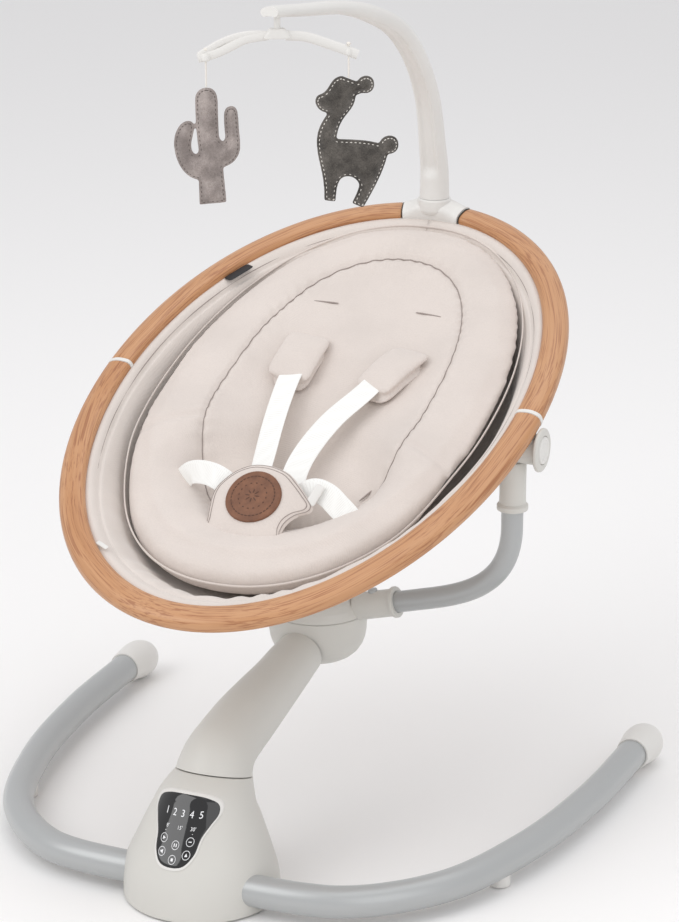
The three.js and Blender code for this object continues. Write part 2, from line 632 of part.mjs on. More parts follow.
const rimTube = (from, to, steps) => sweep(shapeOf(rimSection(0), rimSection(-RIM.wall)), rimStations(from, to, steps));
const rimBlock = (grow, from, to, steps) => sweep(shapeOf(rimSection(grow)), rimStations(from, to, steps));
const degreesPerMm = 360 / (Math.PI * (SEAT.halfWidth + SEAT.halfLength));
const jointHalf = (RIM.jointThickness / 2) * degreesPerMm;
const rimGap = 2 * GAP * degreesPerMm;

function rimJoint() {
  const { jointAngle } = RIM;
  const seam = rimBlock(0.4, jointAngle - jointHalf, jointAngle + jointHalf, 1);
  const plug = rimBlock(-RIM.wall - 1.4, jointAngle - 4, jointAngle + 4, 2);
  return join(seam, plug);
}

function seatBracket() {
  const { inner, thickness, saddleLow, saddleHigh, halfLength, eye } = BRACKET;
  const disc = alongX(rod(eye, inner, inner + thickness, 20)).translate(0, pivotV, pivotW);
  const web = box(inner, inner + thickness, pivotV - 11, pivotV + 11, pivotW, saddleHigh);
  const saddle = box(inner, inner + 18, pivotV - halfLength, pivotV + halfLength, saddleLow, saddleHigh);
  const hole = alongX(rod(PIVOT.pin + GAP, inner - 5, inner + 9, 16)).translate(0, pivotV, pivotW);
  return cut(join(disc, web, saddle), hole);
}

// The socket's axis is upright, so it leans forward in the seat's frame.
function uprightAtHead(geometry) {
  const tilt = degToRad(SEAT.tilt);
  const [dy, dz] = [TOY_ARM.socketY - SEAT.y, -SEAT.z];
  return geometry.translate(0, dy, dz).rotateX(-tilt);
}

function headClamp() {
  const { clampAngle } = RIM;
  const body = rimBlock(CLAMP.grow, -clampAngle + rimGap, clampAngle - rimGap, 8);
  const plug = rimBlock(-RIM.wall - 1.6, -clampAngle - 4, clampAngle + 4, 8);
  const boss = uprightAtHead(turned([
    [0, 536], [13, 536], [CLAMP.collar - 1, 545], [CLAMP.collar + 1.5, 562], [CLAMP.collar + 0.5, CLAMP.collarTop - 1],
    [CLAMP.collar - 0.5, CLAMP.collarTop], [0, CLAMP.collarTop],
  ]));
  const bore = uprightAtHead(rod(CLAMP.plug + GAP, 541, REACH * 2));
  return cut(join(body, plug, boss), bore);
}

const headFrom = RIM.clampAngle + rimGap / 2;
const headTo = RIM.jointAngle - jointHalf - rimGap;
add('rim_head_right', rimTube(headFrom, headTo, 9), OAK, seat);
add('rim_head_left', rimTube(-headTo, -headFrom, 9), OAK, seat);
add('rim_foot', rimTube(RIM.jointAngle + jointHalf + rimGap, 360 - RIM.jointAngle - jointHalf - rimGap, 20), OAK, seat);
add('head_clamp', headClamp(), WHITE, seat);
for (const [name, side] of SIDES) {
  add(`rim_joint_${name}`, sideGeometry(side, rimJoint()), WHITE, seat);
  add(`seat_bracket_${name}`, sideGeometry(side, seatBracket()), STEEL, seat);
}

// ---------------------------------------------------------------- liner and cushion
// A round profile of [share of the outline, layer] is carried out to an outline and two surfaces.
function dished(profile, sides, place) {
  const points = profile.map(([share, layer]) => new THREE.Vector2(share, layer)).reverse();
  const geometry = new THREE.LatheGeometry(points, sides);
  const position = geometry.attributes.position;
  for (let i = 0; i < position.count; i++) {
    const [x, layer, z] = [position.getX(i), position.getY(i), position.getZ(i)];
    const point = place(Math.hypot(x, z), Math.atan2(x, z), layer);
    position.setXYZ(i, point.x, point.y, point.z);
  }
  return geometry;
}

const signedPower = (value, power) => Math.sign(value) * Math.abs(value) ** power;

function liner() {
  const place = (share, angle, layer) => {
    const x = share * (SEAT.halfWidth - LINER.inset) * Math.sin(angle);
    const v = share * (SEAT.halfLength - LINER.inset) * Math.cos(angle);
    const depth = LINER.depth - 0.15 * Math.max(0, -v - 90);
    const top = 0.5 - depth * (1 - share ** LINER.steepness);
    return vec(x, v, top - LINER.thickness * (1 - layer));
  };
  const shares = [0, 0.3, 0.55, 0.75, 0.87, 0.95, 1];
  const profile = [...shares.map((share) => [share, 0]), ...shares.map((share) => [share, 1]).reverse()];
  const notch = uprightAtHead(rod(CLAMP.collar + 3, 400, REACH * 2));
  const side = BRACKET.halfLength + 3;
  const bracketSpace = box(BRACKET.inner - 4, REACH, pivotV - side, pivotV + side, -60, 20);
  return cut(dished(profile, LINER.sides, place), notch, bracketSpace, mirrored(bracketSpace));
}

// Height of the cushion in the seat's frame, at a share of its outline: deepest where the hips rest, with a padded
// border that ends in a roll at the foot; layer runs from 0 underneath to 1 on top.
function cushionHeight(share, angle, v, layer) {
  const { lerp, smoothstep } = THREE.MathUtils;
  const foot = smoothstep(-Math.cos(angle), 0.25, 0.8);
  const head = Math.max(0, Math.cos(angle)) ** 2;
  const seamShare = 0.63 + 0.17 * head;
  const seam = lerp(CUSHION_TOP.seam, CUSHION_TOP.footSeam, foot);
  if (share < seamShare) {
    const middle = lerp(CUSHION_TOP.head, CUSHION_TOP.hips, smoothstep(-v, -180, 180));
    return middle + (seam - middle) * (share / seamShare) ** 2.2 - CUSHION.thickness * (1 - layer);
  }
  const q = (share - seamShare) / (1 - seamShare);
  const edge = lerp(lerp(CUSHION_TOP.edge, CUSHION_TOP.headEdge, head), CUSHION_TOP.footEdge, foot);
  const crown = lerp(CUSHION_TOP.crown, CUSHION_TOP.footCrown, foot) * Math.max(0, 4 * q * (1 - q)) ** 0.8;
  const top = lerp(seam, edge, q ** lerp(1.2, 2, foot)) + crown;
  return lerp(lerp(seam - CUSHION.thickness, edge - 10, q), top, layer);
}

const cushionReach = (v) => (v > CUSHION.middle ? CUSHION.headLength : CUSHION.footLength);

// A point standing a given height over the cushion.
function onCushion(x, v, lift) {
  const half = CUSHION.power / 2;
  const along = (v - CUSHION.middle) / cushionReach(v);
  const [a, b] = [(Math.abs(x) / CUSHION.halfWidth) ** half, signedPower(along, half)];
  return [x, v, cushionHeight(Math.hypot(a, b) ** (1 / half), Math.atan2(a, b), v, 1) + lift];
}

function cushion() {
  const corner = 2 / CUSHION.power;
  const place = (share, angle, layer) => {
    const x = share * CUSHION.halfWidth * signedPower(Math.sin(angle), corner);
    const along = signedPower(Math.cos(angle), corner);
    const v = CUSHION.middle + share * (along > 0 ? CUSHION.headLength : CUSHION.footLength) * along;
    return vec(x, v, cushionHeight(share, angle, v, layer));
  };
  const profile = [
    [0, 0], [0.4, 0], [0.68, 0], [0.85, 0], [0.95, 0.08], [0.985, 0.3], [1, 0.55], [0.985, 0.8],
    [0.95, 0.96], [0.88, 1], [0.8, 1], [0.72, 1], [0.63, 1], [0.5, 1], [0.3, 1], [0, 1],
  ];
  return dished(profile, CUSHION.sides, place);
}

add('seat_liner', liner(), FABRIC, seat);
add('seat_cushion', cushion(), FABRIC, seat);

// ---------------------------------------------------------------- harness
// A flat strap through points of the seat's frame, its width along the given direction.
function strap(points, width, thickness, steps, slot) {
  const route = new THREE.CatmullRomCurve3(points.map(([x, v, w]) => vec(x, v, w)));
  const stations = [];
  for (let i = 0; i <= steps; i++) {
    const travel = route.getTangentAt(i / steps);
    const across = travel.clone().cross(vec(0, 0, 1)).normalize();
    stations.push({ origin: route.getPointAt(i / steps), across, up: across.clone().cross(travel).negate() });
  }
  const [a, b] = [width / 2, thickness / 2];
  const outline = [[-a, -b], [a, -b], [a, b], [-a, b]];
  const hole = slot ? [[-slot[0], -slot[1]], [slot[0], -slot[1]], [slot[0], slot[1]], [-slot[0], slot[1]]] : null;
  return sweep(shapeOf(outline, hole), stations);
}

// Routes of the webbing and the pads on it; the left side's are given mirrored.
const SHOULDER_ROUTES = {
  right: [onCushion(54, 112, 12.8), onCushion(56, 60, 12.8), onCushion(48, 20, 12), onCushion(37, -45, 9), onCushion(25, -100, 16),
    [20, -131, -23]],
  left: [onCushion(52, 112, 12.8), onCushion(50, 60, 12.8), onCushion(44, 20, 12), onCushion(30, -45, 9), onCushion(22, -100, 16),
    [20, -131, -23]],
};
const WAIST_ROUTE = [onCushion(97, -102, 15), onCushion(84, -118, 15), onCushion(62, -138, 17), [BUCKLE.width / 2 + 4, -147, -25]];
const PAD_ROUTES = {
  right: [onCushion(54, 104, 12.8), onCushion(56, 80, 12.8), onCushion(55, 50, 12.6), onCushion(50, 28, 12.2)],
  left: [onCushion(52, 104, 12.8), onCushion(51, 80, 12.8), onCushion(49, 50, 12.6), onCushion(46, 28, 12.2)],
};

function crotchFrame(geometry) {
  const lean = Math.atan2(CROTCH.topW - CROTCH.bottomW, CROTCH.topV - CROTCH.bottomV);
  return geometry.rotateX(lean).translate(0, CROTCH.bottomV, CROTCH.bottomW);
}
const crotchLength = Math.hypot(CROTCH.topV - CROTCH.bottomV, CROTCH.topW - CROTCH.bottomW);

function crotchPad() {
  const { halfWidth, wing, thickness } = CROTCH;
  const half = [[halfWidth, 0], [halfWidth + 3, 0.26], [wing - 4, 0.46], [wing, 0.56], [wing - 8, 0.7], [wing - 22, 0.88], [14, 0.99]];
  const outline = [...half, ...half.map(([x, y]) => [-x, y]).reverse()];
  const shape = shapeOf(outline.map(([x, y]) => [x, y * crotchLength]));
  return crotchFrame(new THREE.ExtrudeGeometry(shape, { depth: thickness, bevelEnabled: false }));
}

const badge = () => crotchFrame(rod(BADGE.radius, 0, BADGE.thickness, 24)
  .translate(0, crotchLength * 0.49, CROTCH.thickness + GAP));

const BUCKLE_AT = { v: -147, low: -31 };

function buckleBody() {
  const [a, b] = [BUCKLE.width / 2 - GAP - 1, BUCKLE.length / 2];
  const body = box(-a, a, BUCKLE_AT.v - b, BUCKLE_AT.v + b - 4, BUCKLE_AT.low, BUCKLE_AT.low + BUCKLE.thickness);
  const well = rod(BUCKLE.button + 0.4, BUCKLE_AT.low + 3, REACH).translate(0, BUCKLE_AT.v - 2, 0);
  return cut(body, well);
}

function buckleButton() {
  const top = BUCKLE_AT.low + BUCKLE.thickness + 2;
  return rod(BUCKLE.button, BUCKLE_AT.low + 3.4 + BUCKLE.travel, top, 20).translate(0, BUCKLE_AT.v - 2, 0);
}

for (const [name, side] of SIDES) {
  const shoulder = strap(SHOULDER_ROUTES[name], WEBBING.width, WEBBING.thickness, 12);
  const waist = strap(WAIST_ROUTE, WEBBING.width, WEBBING.thickness, 8);
  const pad = strap(PAD_ROUTES[name], SHOULDER_PAD.width, SHOULDER_PAD.thickness, 4, [WEBBING.width / 2 + 1.5, 2.6]);
  add(`shoulder_strap_${name}`, sideGeometry(side, shoulder), WEB, seat);
  add(`waist_strap_${name}`, sideGeometry(side, waist), WEB, seat);
  add(`shoulder_pad_${name}`, sideGeometry(side, pad), FABRIC, seat);
}
add('crotch_pad', crotchPad(), FABRIC, seat);
add('crotch_badge', badge(), finish(0x7a5138, 0.6), seat);
add('buckle_body', buckleBody(), WHITE, seat);
add('buckle_button', buckleButton(), finish(0xd8d2ca, 0.5), seat);

// ---------------------------------------------------------------- toy arm and mobile
const TOY_ARM_KNOTS = [ // [y, z, half width, half height]
  [TOY_ARM.socketY, CLAMP.collarTop + GAP, 16.5, 16.5],
  [TOY_ARM.socketY, 590, 15.9, 15.9],
  [608.4, 604, 15.5, 15.5],
  [604, 622, 15, 15],
  [587, 682, 13.8, 13.8],
  [552, 732, 13, 13],
  [498, 774, 12.4, 11.5],
  [424, 803, 11.5, 9.5],
  [346, 822, 10.5, 7.6],
  [247, 836, 10, 6.6],
  [182, 845, 9.6, 6.2],
  [TOY_ARM.tipY, 846, 7.5, 4.4],
];

// Round outside with a shallow channel along the inner side of the curve.
function toyArmSection() {
  const [groove, depth] = [0.52, 0.5];
  const round = ring(1, TOY_ARM.sides).filter(([x, y]) => !(y < 0 && Math.abs(x) < groove + 0.2));
  const shape = round.map(([x, y]) => [x, y]);
  const cutIn = [[-groove, -0.82], [-groove + 0.1, -depth], [groove - 0.1, -depth], [groove, -0.82]];
  const after = shape.findIndex(([x, y]) => y < 0 && x > 0);
  return shapeOf([...shape.slice(0, after), ...cutIn, ...shape.slice(after)]);
}

function toyArm() {
  const arm = sweep(toyArmSection(), bentStations(TOY_ARM_KNOTS, TOY_ARM.steps));
  const plug = rod(CLAMP.plug, 546, CLAMP.collarTop + 12).translate(0, TOY_ARM.socketY, 0);
  const stemSeat = rod(MOBILE.stem + GAP, MOBILE.hubTop, 842, 16).translate(0, MOBILE.y, 0);
  return cut(join(arm, plug), stemSeat);
}

// Pieces of the mobile are drawn along X and turned to hang squarely under the arm.
const mobileFrame = (geometry) => geometry.rotateZ(degToRad(MOBILE.turn)).translate(0, MOBILE.y, 0);

function barRod(points, radius) {
  return tube(new THREE.CatmullRomCurve3(points.map(([x, z]) => vec(x, 0, z))), radius, 0, 6, 6);
}

function mobileBar() {
  const { hubTop, hubBottom, reach, stringAt, stem } = MOBILE;
  const hubShape = shapeOf([[-15, hubBottom], [15, hubBottom], [14, hubBottom + 3.5], [8, hubTop], [-8, hubTop], [-14, hubBottom + 3.5]]);
  const hub = new THREE.ExtrudeGeometry(hubShape, { depth: 12, bevelEnabled: false }).translate(0, 0, -6).rotateX(Math.PI / 2);
  const post = rod(stem, hubTop - 2, 841.6, 16);
  const lowerLeft = barRod([[-10, hubBottom + 2.6], [-30, hubBottom - 1], [-44, hubBottom - 7], [-58, hubBottom - 13.5], [-stringAt - 4, hubBottom - 17]], 2.2);
  const upperLeft = barRod([[-12, hubBottom + 4], [-26, hubBottom + 4.5], [-42, hubBottom + 1.5], [-58, hubBottom - 5], [-stringAt - 4, hubBottom - 14]], 1.3);
  const right = barRod([[10, hubBottom + 2.8], [28, hubBottom + 1], [48, hubBottom - 5.5], [stringAt - 2, hubBottom - 12.5], [reach, hubBottom - 17]], 2.6);
  const leftEnd = rod(5, stringFoot(-1), -14.5, 12).translate(-stringAt, 0, hubBottom);
  const rightEnd = rod(4, stringFoot(1), -10.6, 12).translate(stringAt, 0, hubBottom);
  const holes = [-1, 1].map((side) => rod(STRING.radius + 0.45, hubBottom - 40, hubBottom + 10, 8).translate(side * stringAt, 0, 0));
  return mobileFrame(cut(join(hub, post, lowerLeft, upperLeft, right, leftEnd, rightEnd), ...holes));
}

// Outlines of the stuffed toys, in millimetres from the point where the string meets them.
function cactusOutline() {
  const shape = new THREE.Shape();
  shape.moveTo(-8, -116);
  shape.lineTo(-8.6, -91);
  shape.bezierCurveTo(-24, -89, -32, -70, -32, -55);
  shape.bezierCurveTo(-32, -41, -24, -32.5, -18, -32.5);
  shape.bezierCurveTo(-10, -32.5, -12, -40, -15, -54);
  shape.bezierCurveTo(-16.5, -64, -10, -70, -8, -62);
  shape.bezierCurveTo(-10, -48, -11, -30, -11, -12);
  shape.bezierCurveTo(-11, -4, -5, 0, 0.5, 0);
  shape.bezierCurveTo(7, 0, 10.6, -5, 11, -12);
  shape.bezierCurveTo(12, -25, 12, -36, 12.8, -50);
  shape.bezierCurveTo(13.5, -56, 17.5, -56, 17, -50);
  shape.bezierCurveTo(16, -42, 14.5, -34, 14.6, -28);
  shape.bezierCurveTo(15, -21, 19, -18.5, 23.5, -18.5);
  shape.bezierCurveTo(28.5, -18.5, 30, -22, 30.4, -30);
  shape.bezierCurveTo(31, -40, 32.4, -48, 32.4, -58);
  shape.bezierCurveTo(32.4, -70, 24, -77, 15.5, -79);
  shape.lineTo(18.6, -114);
  return shape;
}

function llamaOutline() {
  const shape = new THREE.Shape();
  shape.moveTo(0, 0);
  shape.absarc(16.7, -6.2, 8.4, degToRad(160), degToRad(-110), true);
  shape.lineTo(6.9, -16.6);
  shape.bezierCurveTo(6.4, -34, -9, -34, -11.8, -59.4);
  shape.bezierCurveTo(0, -60.5, 17, -60, 30, -64.5);
  shape.absarc(40, -66, 9, degToRad(170), degToRad(-100), true);
  shape.bezierCurveTo(35, -92, 24, -112, 14.5, -128.6);
  shape.lineTo(3.4, -124);
  shape.bezierCurveTo(7, -116, 10.5, -110, 10.5, -105);
  shape.bezierCurveTo(7, -95, -7, -94, -9.6, -103);
  shape.bezierCurveTo(-12, -108, -12, -115, -12.7, -122);
  shape.lineTo(-23.9, -120.6);
  shape.bezierCurveTo(-23, -92, -31, -82, -31, -62);
  shape.bezierCurveTo(-31, -48, -24, -40, -20, -33.5);
  shape.bezierCurveTo(-31, -33, -36.5, -20, -28.8, -15.6);
  shape.bezierCurveTo(-17, -13, -20, 1, -6.5, 2.7);
  return shape;
}

function stuffedToy(outline, side) {
  const solid = new THREE.ExtrudeGeometry(outline, { depth: TOY.thickness, curveSegments: 3, bevelEnabled: false });
  return mobileFrame(solid.translate(0, 0, -TOY.thickness / 2).rotateX(Math.PI / 2)
    .translate(side * MOBILE.stringAt, 0, toyTop(side)));
}

const STRING_DROP = { '-1': 26, 1: 23 };
const stringFoot = (side) => (side < 0 ? -21 : -17);
const toyTop = (side) => MOBILE.hubBottom + stringFoot(side) - STRING_DROP[side];

// A string from the toy up through the bar's end to a knot on top of it.
function toyString(side) {
  const top = MOBILE.hubBottom + (side < 0 ? -11.5 : -7.5);
  const bottom = toyTop(side) + 2 * GAP;
  const x = side * MOBILE.stringAt;
  const route = new THREE.CatmullRomCurve3([vec(x, 0, bottom), vec(x, 0, (bottom + top) / 2), vec(x, 0, top)]);
  return mobileFrame(tube(route, STRING.radius, 0, STRING.sides, 6));
}

add('toy_arm', toyArm(), WHITE);
add('mobile_bar', mobileBar(), WHITE);
add('cactus', stuffedToy(cactusOutline(), -1), finish(0x9c9490, 0.95));
add('cactus_string', toyString(-1), WEB);
add('llama', stuffedToy(llamaOutline(), 1), finish(0x57534f, 0.95));
add('llama_string', toyString(1), WEB);

export default part;
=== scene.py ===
"""Looks for the baby swing: casing, tubes, wood-look rim, padded seat, harness and felt toys.

Sizes are in millimetres until a helper writes them to a mesh, and the frame is the CAD model's own:
+Z up, +X to the seat's left-hand side, +Y towards the head end, origin on the floor under the casing.
"""

import math

import bpy
from mathutils import Matrix, Vector, noise


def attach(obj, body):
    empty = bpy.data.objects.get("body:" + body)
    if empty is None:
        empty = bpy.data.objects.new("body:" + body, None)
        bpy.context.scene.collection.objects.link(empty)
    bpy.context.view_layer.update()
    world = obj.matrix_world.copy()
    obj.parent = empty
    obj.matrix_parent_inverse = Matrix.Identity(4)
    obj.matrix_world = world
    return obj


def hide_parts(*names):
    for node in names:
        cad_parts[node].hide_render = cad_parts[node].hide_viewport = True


bl_info = {
    "name": "Baby swing looks",
    "version": (1, 0, 0),
    "blender": (4, 5, 0),
    "location": "View3D > Sidebar > Swing",
    "description": "Builds the shells, soft goods, toys and materials of a baby swing on its CAD frame",
    "category": "Object",
}

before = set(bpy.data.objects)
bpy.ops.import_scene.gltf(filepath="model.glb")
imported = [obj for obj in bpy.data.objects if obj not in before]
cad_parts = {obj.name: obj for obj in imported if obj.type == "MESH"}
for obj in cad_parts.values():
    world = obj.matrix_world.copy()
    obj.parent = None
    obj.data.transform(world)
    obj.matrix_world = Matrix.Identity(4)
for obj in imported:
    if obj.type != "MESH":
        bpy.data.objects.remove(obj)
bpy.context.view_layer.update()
MM = 0.001

# ------------------------------------------------------------------ sizes shared by several pieces
SEAT_Y, SEAT_Z, SEAT_TILT = 286.0, 431.4, math.radians(20.7)
RIM_HALF_WIDTH, RIM_HALF_LENGTH = 229.3, 347.6
HUB_Y = 287.0
YOKE_Y, YOKE_X, YOKE_RADIUS = 286.0, 216.0, 11.25
LEG_RADIUS = 16.0
UP = Vector((0, 0, 1))
PIVOT_Z = 404.0
SOCKET_X, SOCKET_Z, SOCKET_RISE = 67.0, 211.0, math.radians(15)
TOY_ARM_Y = 610.0
MOBILE_Y, MOBILE_TURN, HUB_BOTTOM, STRING_AT = 193.0, math.radians(27), 818.0, 69.0
SIDES = (("right", 1), ("left", -1))

CASING_RINGS = [  # y, z, lean in degrees, radius
    (0, 0, 0, 77.7), (0.4, 20, 8, 77.5), (3, 36, 13, 74.5), (7, 52, 15, 68), (11, 70, 17, 60.5),
    (14.5, 86, 19, 53.5), (16.5, 96.5, 21, 48.5), (23, 106, 20, 43.5), (31, 114, 18, 38.6),
]
ARM_RINGS = [(31.3, 114.8, 18, 38.4), (36, 121, 30, 37), (47, 129, 48, 35.2), (66, 134.5, 64, 33.4),
             (103, 141.5, 77, 32.2), (143, 147.5, 81, 30), (185, 153.5, 80, 27.5), (215, 159, 78, 26.2),
             (240, 162.5, 79, 24.5)]
LEG_ROUTE = [(34, -29.5, 24), (49.8, -27.9, 24), (157.1, -15.9, 24), (234, 51.3, 24), (278.4, 165.7, 24),
             (300.5, 303, 24), (305.9, 445.8, 24)]
TOY_ARM_KNOTS = [  # y, z, half width, half height
    (610, 568.35, 16.5, 16.5), (610, 585, 15.9, 15.9), (608.4, 604, 15.5, 15.5), (604, 622, 15, 15),
    (587, 682, 13.8, 13.8), (552, 732, 13, 13), (498, 774, 12.4, 11.5), (424, 803, 11.5, 9.5),
    (346, 822, 10.5, 7.6), (247, 836, 10, 6.6), (184, 845, 9.6, 6.0), (175, 846, 9.2, 5.6),
]


# ------------------------------------------------------------------ curves and frames
def seat_point(x, v, w):
    """A point of the tilted seat: x across, v towards the head, w out of the rim's plane."""
    return Vector((x, SEAT_Y + v * math.cos(SEAT_TILT) - w * math.sin(SEAT_TILT),
                   SEAT_Z + v * math.sin(SEAT_TILT) + w * math.cos(SEAT_TILT)))


def smooth(value, low=0.0, high=1.0):
    share = min(1.0, max(0.0, (value - low) / (high - low)))
    return share * share * (3 - 2 * share)


def bump(value, centre, half):
    return max(0.0, 1 - ((value - centre) / half) ** 2)


def route_at(points, share):
    """Point at a share of a centripetal spline through the points, of any dimension."""
    points = [Vector(p) for p in points]
    last = len(points) - 1
    step = min(int(share * last), last - 1)
    part = share * last - step
    p1, p2 = points[step], points[step + 1]
    p0 = points[step - 1] if step else p1 * 2 - p2
    p3 = points[step + 2] if step + 2 <= last else p2 * 2 - p1
    d0, d1, d2 = (max((b - a).length, 1e-6) ** 0.5 for a, b in ((p0, p1), (p1, p2), (p2, p3)))
    t1 = ((p1 - p0) / d0 - (p2 - p0) / (d0 + d1) + (p2 - p1) / d1) * d1
    t2 = ((p2 - p1) / d1 - (p3 - p1) / (d1 + d2) + (p3 - p2) / d2) * d1
    square, cube = p1 * -3 + p2 * 3 - t1 * 2 - t2, p1 * 2 - p2 * 2 + t1 + t2
    return p1 + t1 * part + square * part ** 2 + cube * part ** 3


def bent(a, b, c, d, t):
    """Point at t of a bent run from a to d whose ends lean towards b and c."""
    return a * (1 - t) ** 3 + b * 3 * t * (1 - t) ** 2 + c * 3 * t * t * (1 - t) + d * t ** 3


def spline_frame(points, share, side):
    """Centre, sideways and up directions of a route whose sideways direction stays near side."""
    centre = route_at(points, share)
    travel = (route_at(points, min(1, share + 0.004)) - route_at(points, max(0, share - 0.004))).normalized()
    across = (side - travel * side.dot(travel)).normalized()
    return centre, across, travel.cross(across)


def rim_point(t):
    """Centreline of the rim, t in radians from the head end towards +X."""
    return Vector((RIM_HALF_WIDTH * math.sin(t) * (1 + 0.014 * math.cos(t)),
                   RIM_HALF_LENGTH * math.cos(t) * (1 + 0.016 * math.sin(t) ** 2), -2.9 * math.cos(2 * t)))


def rim_place(t, radial, w):
    """A point beside the rim's centreline: radial is outwards in the seat's plane."""
    travel = (rim_point(t + 0.01) - rim_point(t - 0.01)).normalized()
    outward = Vector((-travel.y, travel.x, 0)).normalized()
    if outward.dot(rim_point(t)) < 0:
        outward.negate()
    point = rim_point(t) + outward * radial
    return seat_point(point.x, point.y, point.z + w)


def turned_place(profile, axis, up, origin):
    """A place function for a turned form: profile of (radius, height) along the axis."""
    side = up.cross(axis)

    def place(u, v):
        radius, height = profile_at(profile, v)
        turn = 2 * math.pi * u
        return origin + axis * height + (up * math.cos(turn) + side * math.sin(turn)) * radius
    return place


def profile_at(profile, share):
    """Point at a share of a polyline's length, so that short steps such as rounded edges keep their rows."""
    position = share * (len(profile) - 1)
    step = min(int(position), len(profile) - 2)
    part = position - step
    (a, b), (c, d) = profile[step], profile[step + 1]
    return a + (c - a) * part, b + (d - b) * part


# ------------------------------------------------------------------ modelling helpers
def deselect():
    if bpy.context.object and bpy.context.object.mode != "OBJECT":
        bpy.ops.object.mode_set(mode="OBJECT")
    bpy.ops.object.select_all(action="DESELECT")


def pick(obj):
    deselect()
    obj.select_set(True)
    bpy.context.view_layer.objects.active = obj
    return obj


def shaped_grid(name, columns, rows, place, smooth_angle=60, flip=False):
    """A grid primitive whose vertices go to place(u, v) in millimetres; edges that meet are merged."""
    deselect()
    bpy.ops.mesh.primitive_grid_add(x_subdivisions=columns, y_subdivisions=rows, size=2)
    obj = bpy.context.object
    obj.name = name
    for vertex in obj.data.vertices:
        u, v = (min(1.0, max(0.0, (value + 1) / 2)) for value in (vertex.co.x, vertex.co.y))
        vertex.co = place(u, v) * MM
    bpy.ops.object.mode_set(mode="EDIT")
    bpy.ops.mesh.select_all(action="SELECT")
    bpy.ops.mesh.remove_doubles(threshold=0.00002)
    bpy.ops.mesh.normals_make_consistent(inside=flip)
    bpy.ops.object.mode_set(mode="OBJECT")
    bpy.ops.object.shade_smooth_by_angle(angle=math.radians(smooth_angle))
    return obj


def applied(obj, kind, **settings):
    """Adds a modifier with these settings and applies it."""
    pick(obj)
    modifier = obj.modifiers.new(kind.lower(), kind)
    for key, value in settings.items():
        setattr(modifier, key, value)
    bpy.ops.object.modifier_apply(modifier=modifier.name)
    return obj


def merged_copy(node, name):
    """A copy of a CAD node with its loose triangles merged, ready to be rounded and shaded."""
    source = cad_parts[node]
    obj = bpy.data.objects.new(name, source.data.copy())
    bpy.context.scene.collection.objects.link(obj)
    pick(obj)
    bpy.ops.object.mode_set(mode="EDIT")
    bpy.ops.mesh.select_all(action="SELECT")
    bpy.ops.mesh.remove_doubles(threshold=0.00002)
    bpy.ops.mesh.dissolve_limited(angle_limit=math.radians(1))
    bpy.ops.object.mode_set(mode="OBJECT")
    applied(obj, "BEVEL", width=0.0007, segments=2, limit_method="ANGLE", angle_limit=math.radians(50))
    bpy.ops.object.shade_smooth_by_angle(angle=math.radians(50))
    return obj


def joined(name, objects):
    deselect()
    for obj in objects:
        obj.select_set(True)
    bpy.context.view_layer.objects.active = objects[0]
    bpy.ops.object.join()
    objects[0].name = name
    return objects[0]


def swept(name, points, side, section, around=24, along=60, ends=True, smooth_angle=60):
    """A section carried along a route; section(angle, share) gives sideways and up distances."""
    def place(u, v):
        share = min(1.0, max(0.0, (v - 0.02) / 0.96)) if ends else v
        centre, across, up = spline_frame(points, share, side)
        a, b = section(2 * math.pi * u, share)
        closing = 1.0 if not ends or 0.001 < v < 0.999 else 0.0
        return centre + (across * a + up * b) * closing
    return shaped_grid(name, around, along, place, smooth_angle)


def turned(name, profile, axis, origin, sides=48, rows=None, smooth_angle=40):
    up = Vector((0, 1, 0)) if abs(axis.y) < 0.7 else Vector((1, 0, 0))
    up = (up - axis * up.dot(axis)).normalized()
    rows = rows or (len(profile) - 1)
    return shaped_grid(name, sides, rows, turned_place(profile, axis.normalized(), up, origin), smooth_angle)


def settle(obj, look, body, slot, *nodes):
    """Material, body, material slot (not used) and the CAD nodes that the piece stands for."""
    obj.data.materials.clear()
    obj.data.materials.append(look)
    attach(obj, body)
    if nodes:
        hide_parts(*nodes)
    return obj


# ------------------------------------------------------------------ materials
def linear(code):
    """Linear colour of an sRGB hex code."""
    values = [int(code[i:i + 2], 16) / 255 for i in (0, 2, 4)]
    return [v / 12.92 if v <= 0.04045 else ((v + 0.055) / 1.055) ** 2.4 for v in values] + [1.0]


def add(tree, kind, inputs=None, **settings):
    """Adds a shader node; inputs are values or sockets to link."""
    node = tree.nodes.new("ShaderNode" + kind)
    for key, value in settings.items():
        setattr(node, key, value)
    for key, value in (inputs or {}).items():
        if isinstance(value, bpy.types.NodeSocket):
            tree.links.new(value, node.inputs[key])
        else:
            node.inputs[key].default_value = value
    return node


def new_look(name, **sockets):
    look = bpy.data.materials.get(name) or bpy.data.materials.new(name)
    look.use_nodes = True
    shader = look.node_tree.nodes["Principled BSDF"]
    for key, value in sockets.items():
        shader.inputs[key.replace("_", " ")].default_value = value
    return look, look.node_tree, shader


def colour_ramp(tree, factor, *stops):
    ramp = add(tree, "ValToRGB", {"Fac": factor})
    elements = ramp.color_ramp.elements
    while len(elements) < len(stops):
        elements.new(0.5)
    for element, (position, colour) in zip(elements, stops):
        element.position, element.color = position, colour
    return ramp.outputs["Color"]


def bumped(tree, shader, height, distance, strength=1.0, normal=None):
    node = add(tree, "Bump", {"Height": height, "Distance": distance, "Strength": strength})
    if normal:
        tree.links.new(normal, node.inputs["Normal"])
    tree.links.new(node.outputs["Normal"], shader.inputs["Normal"])
    return node.outputs["Normal"]


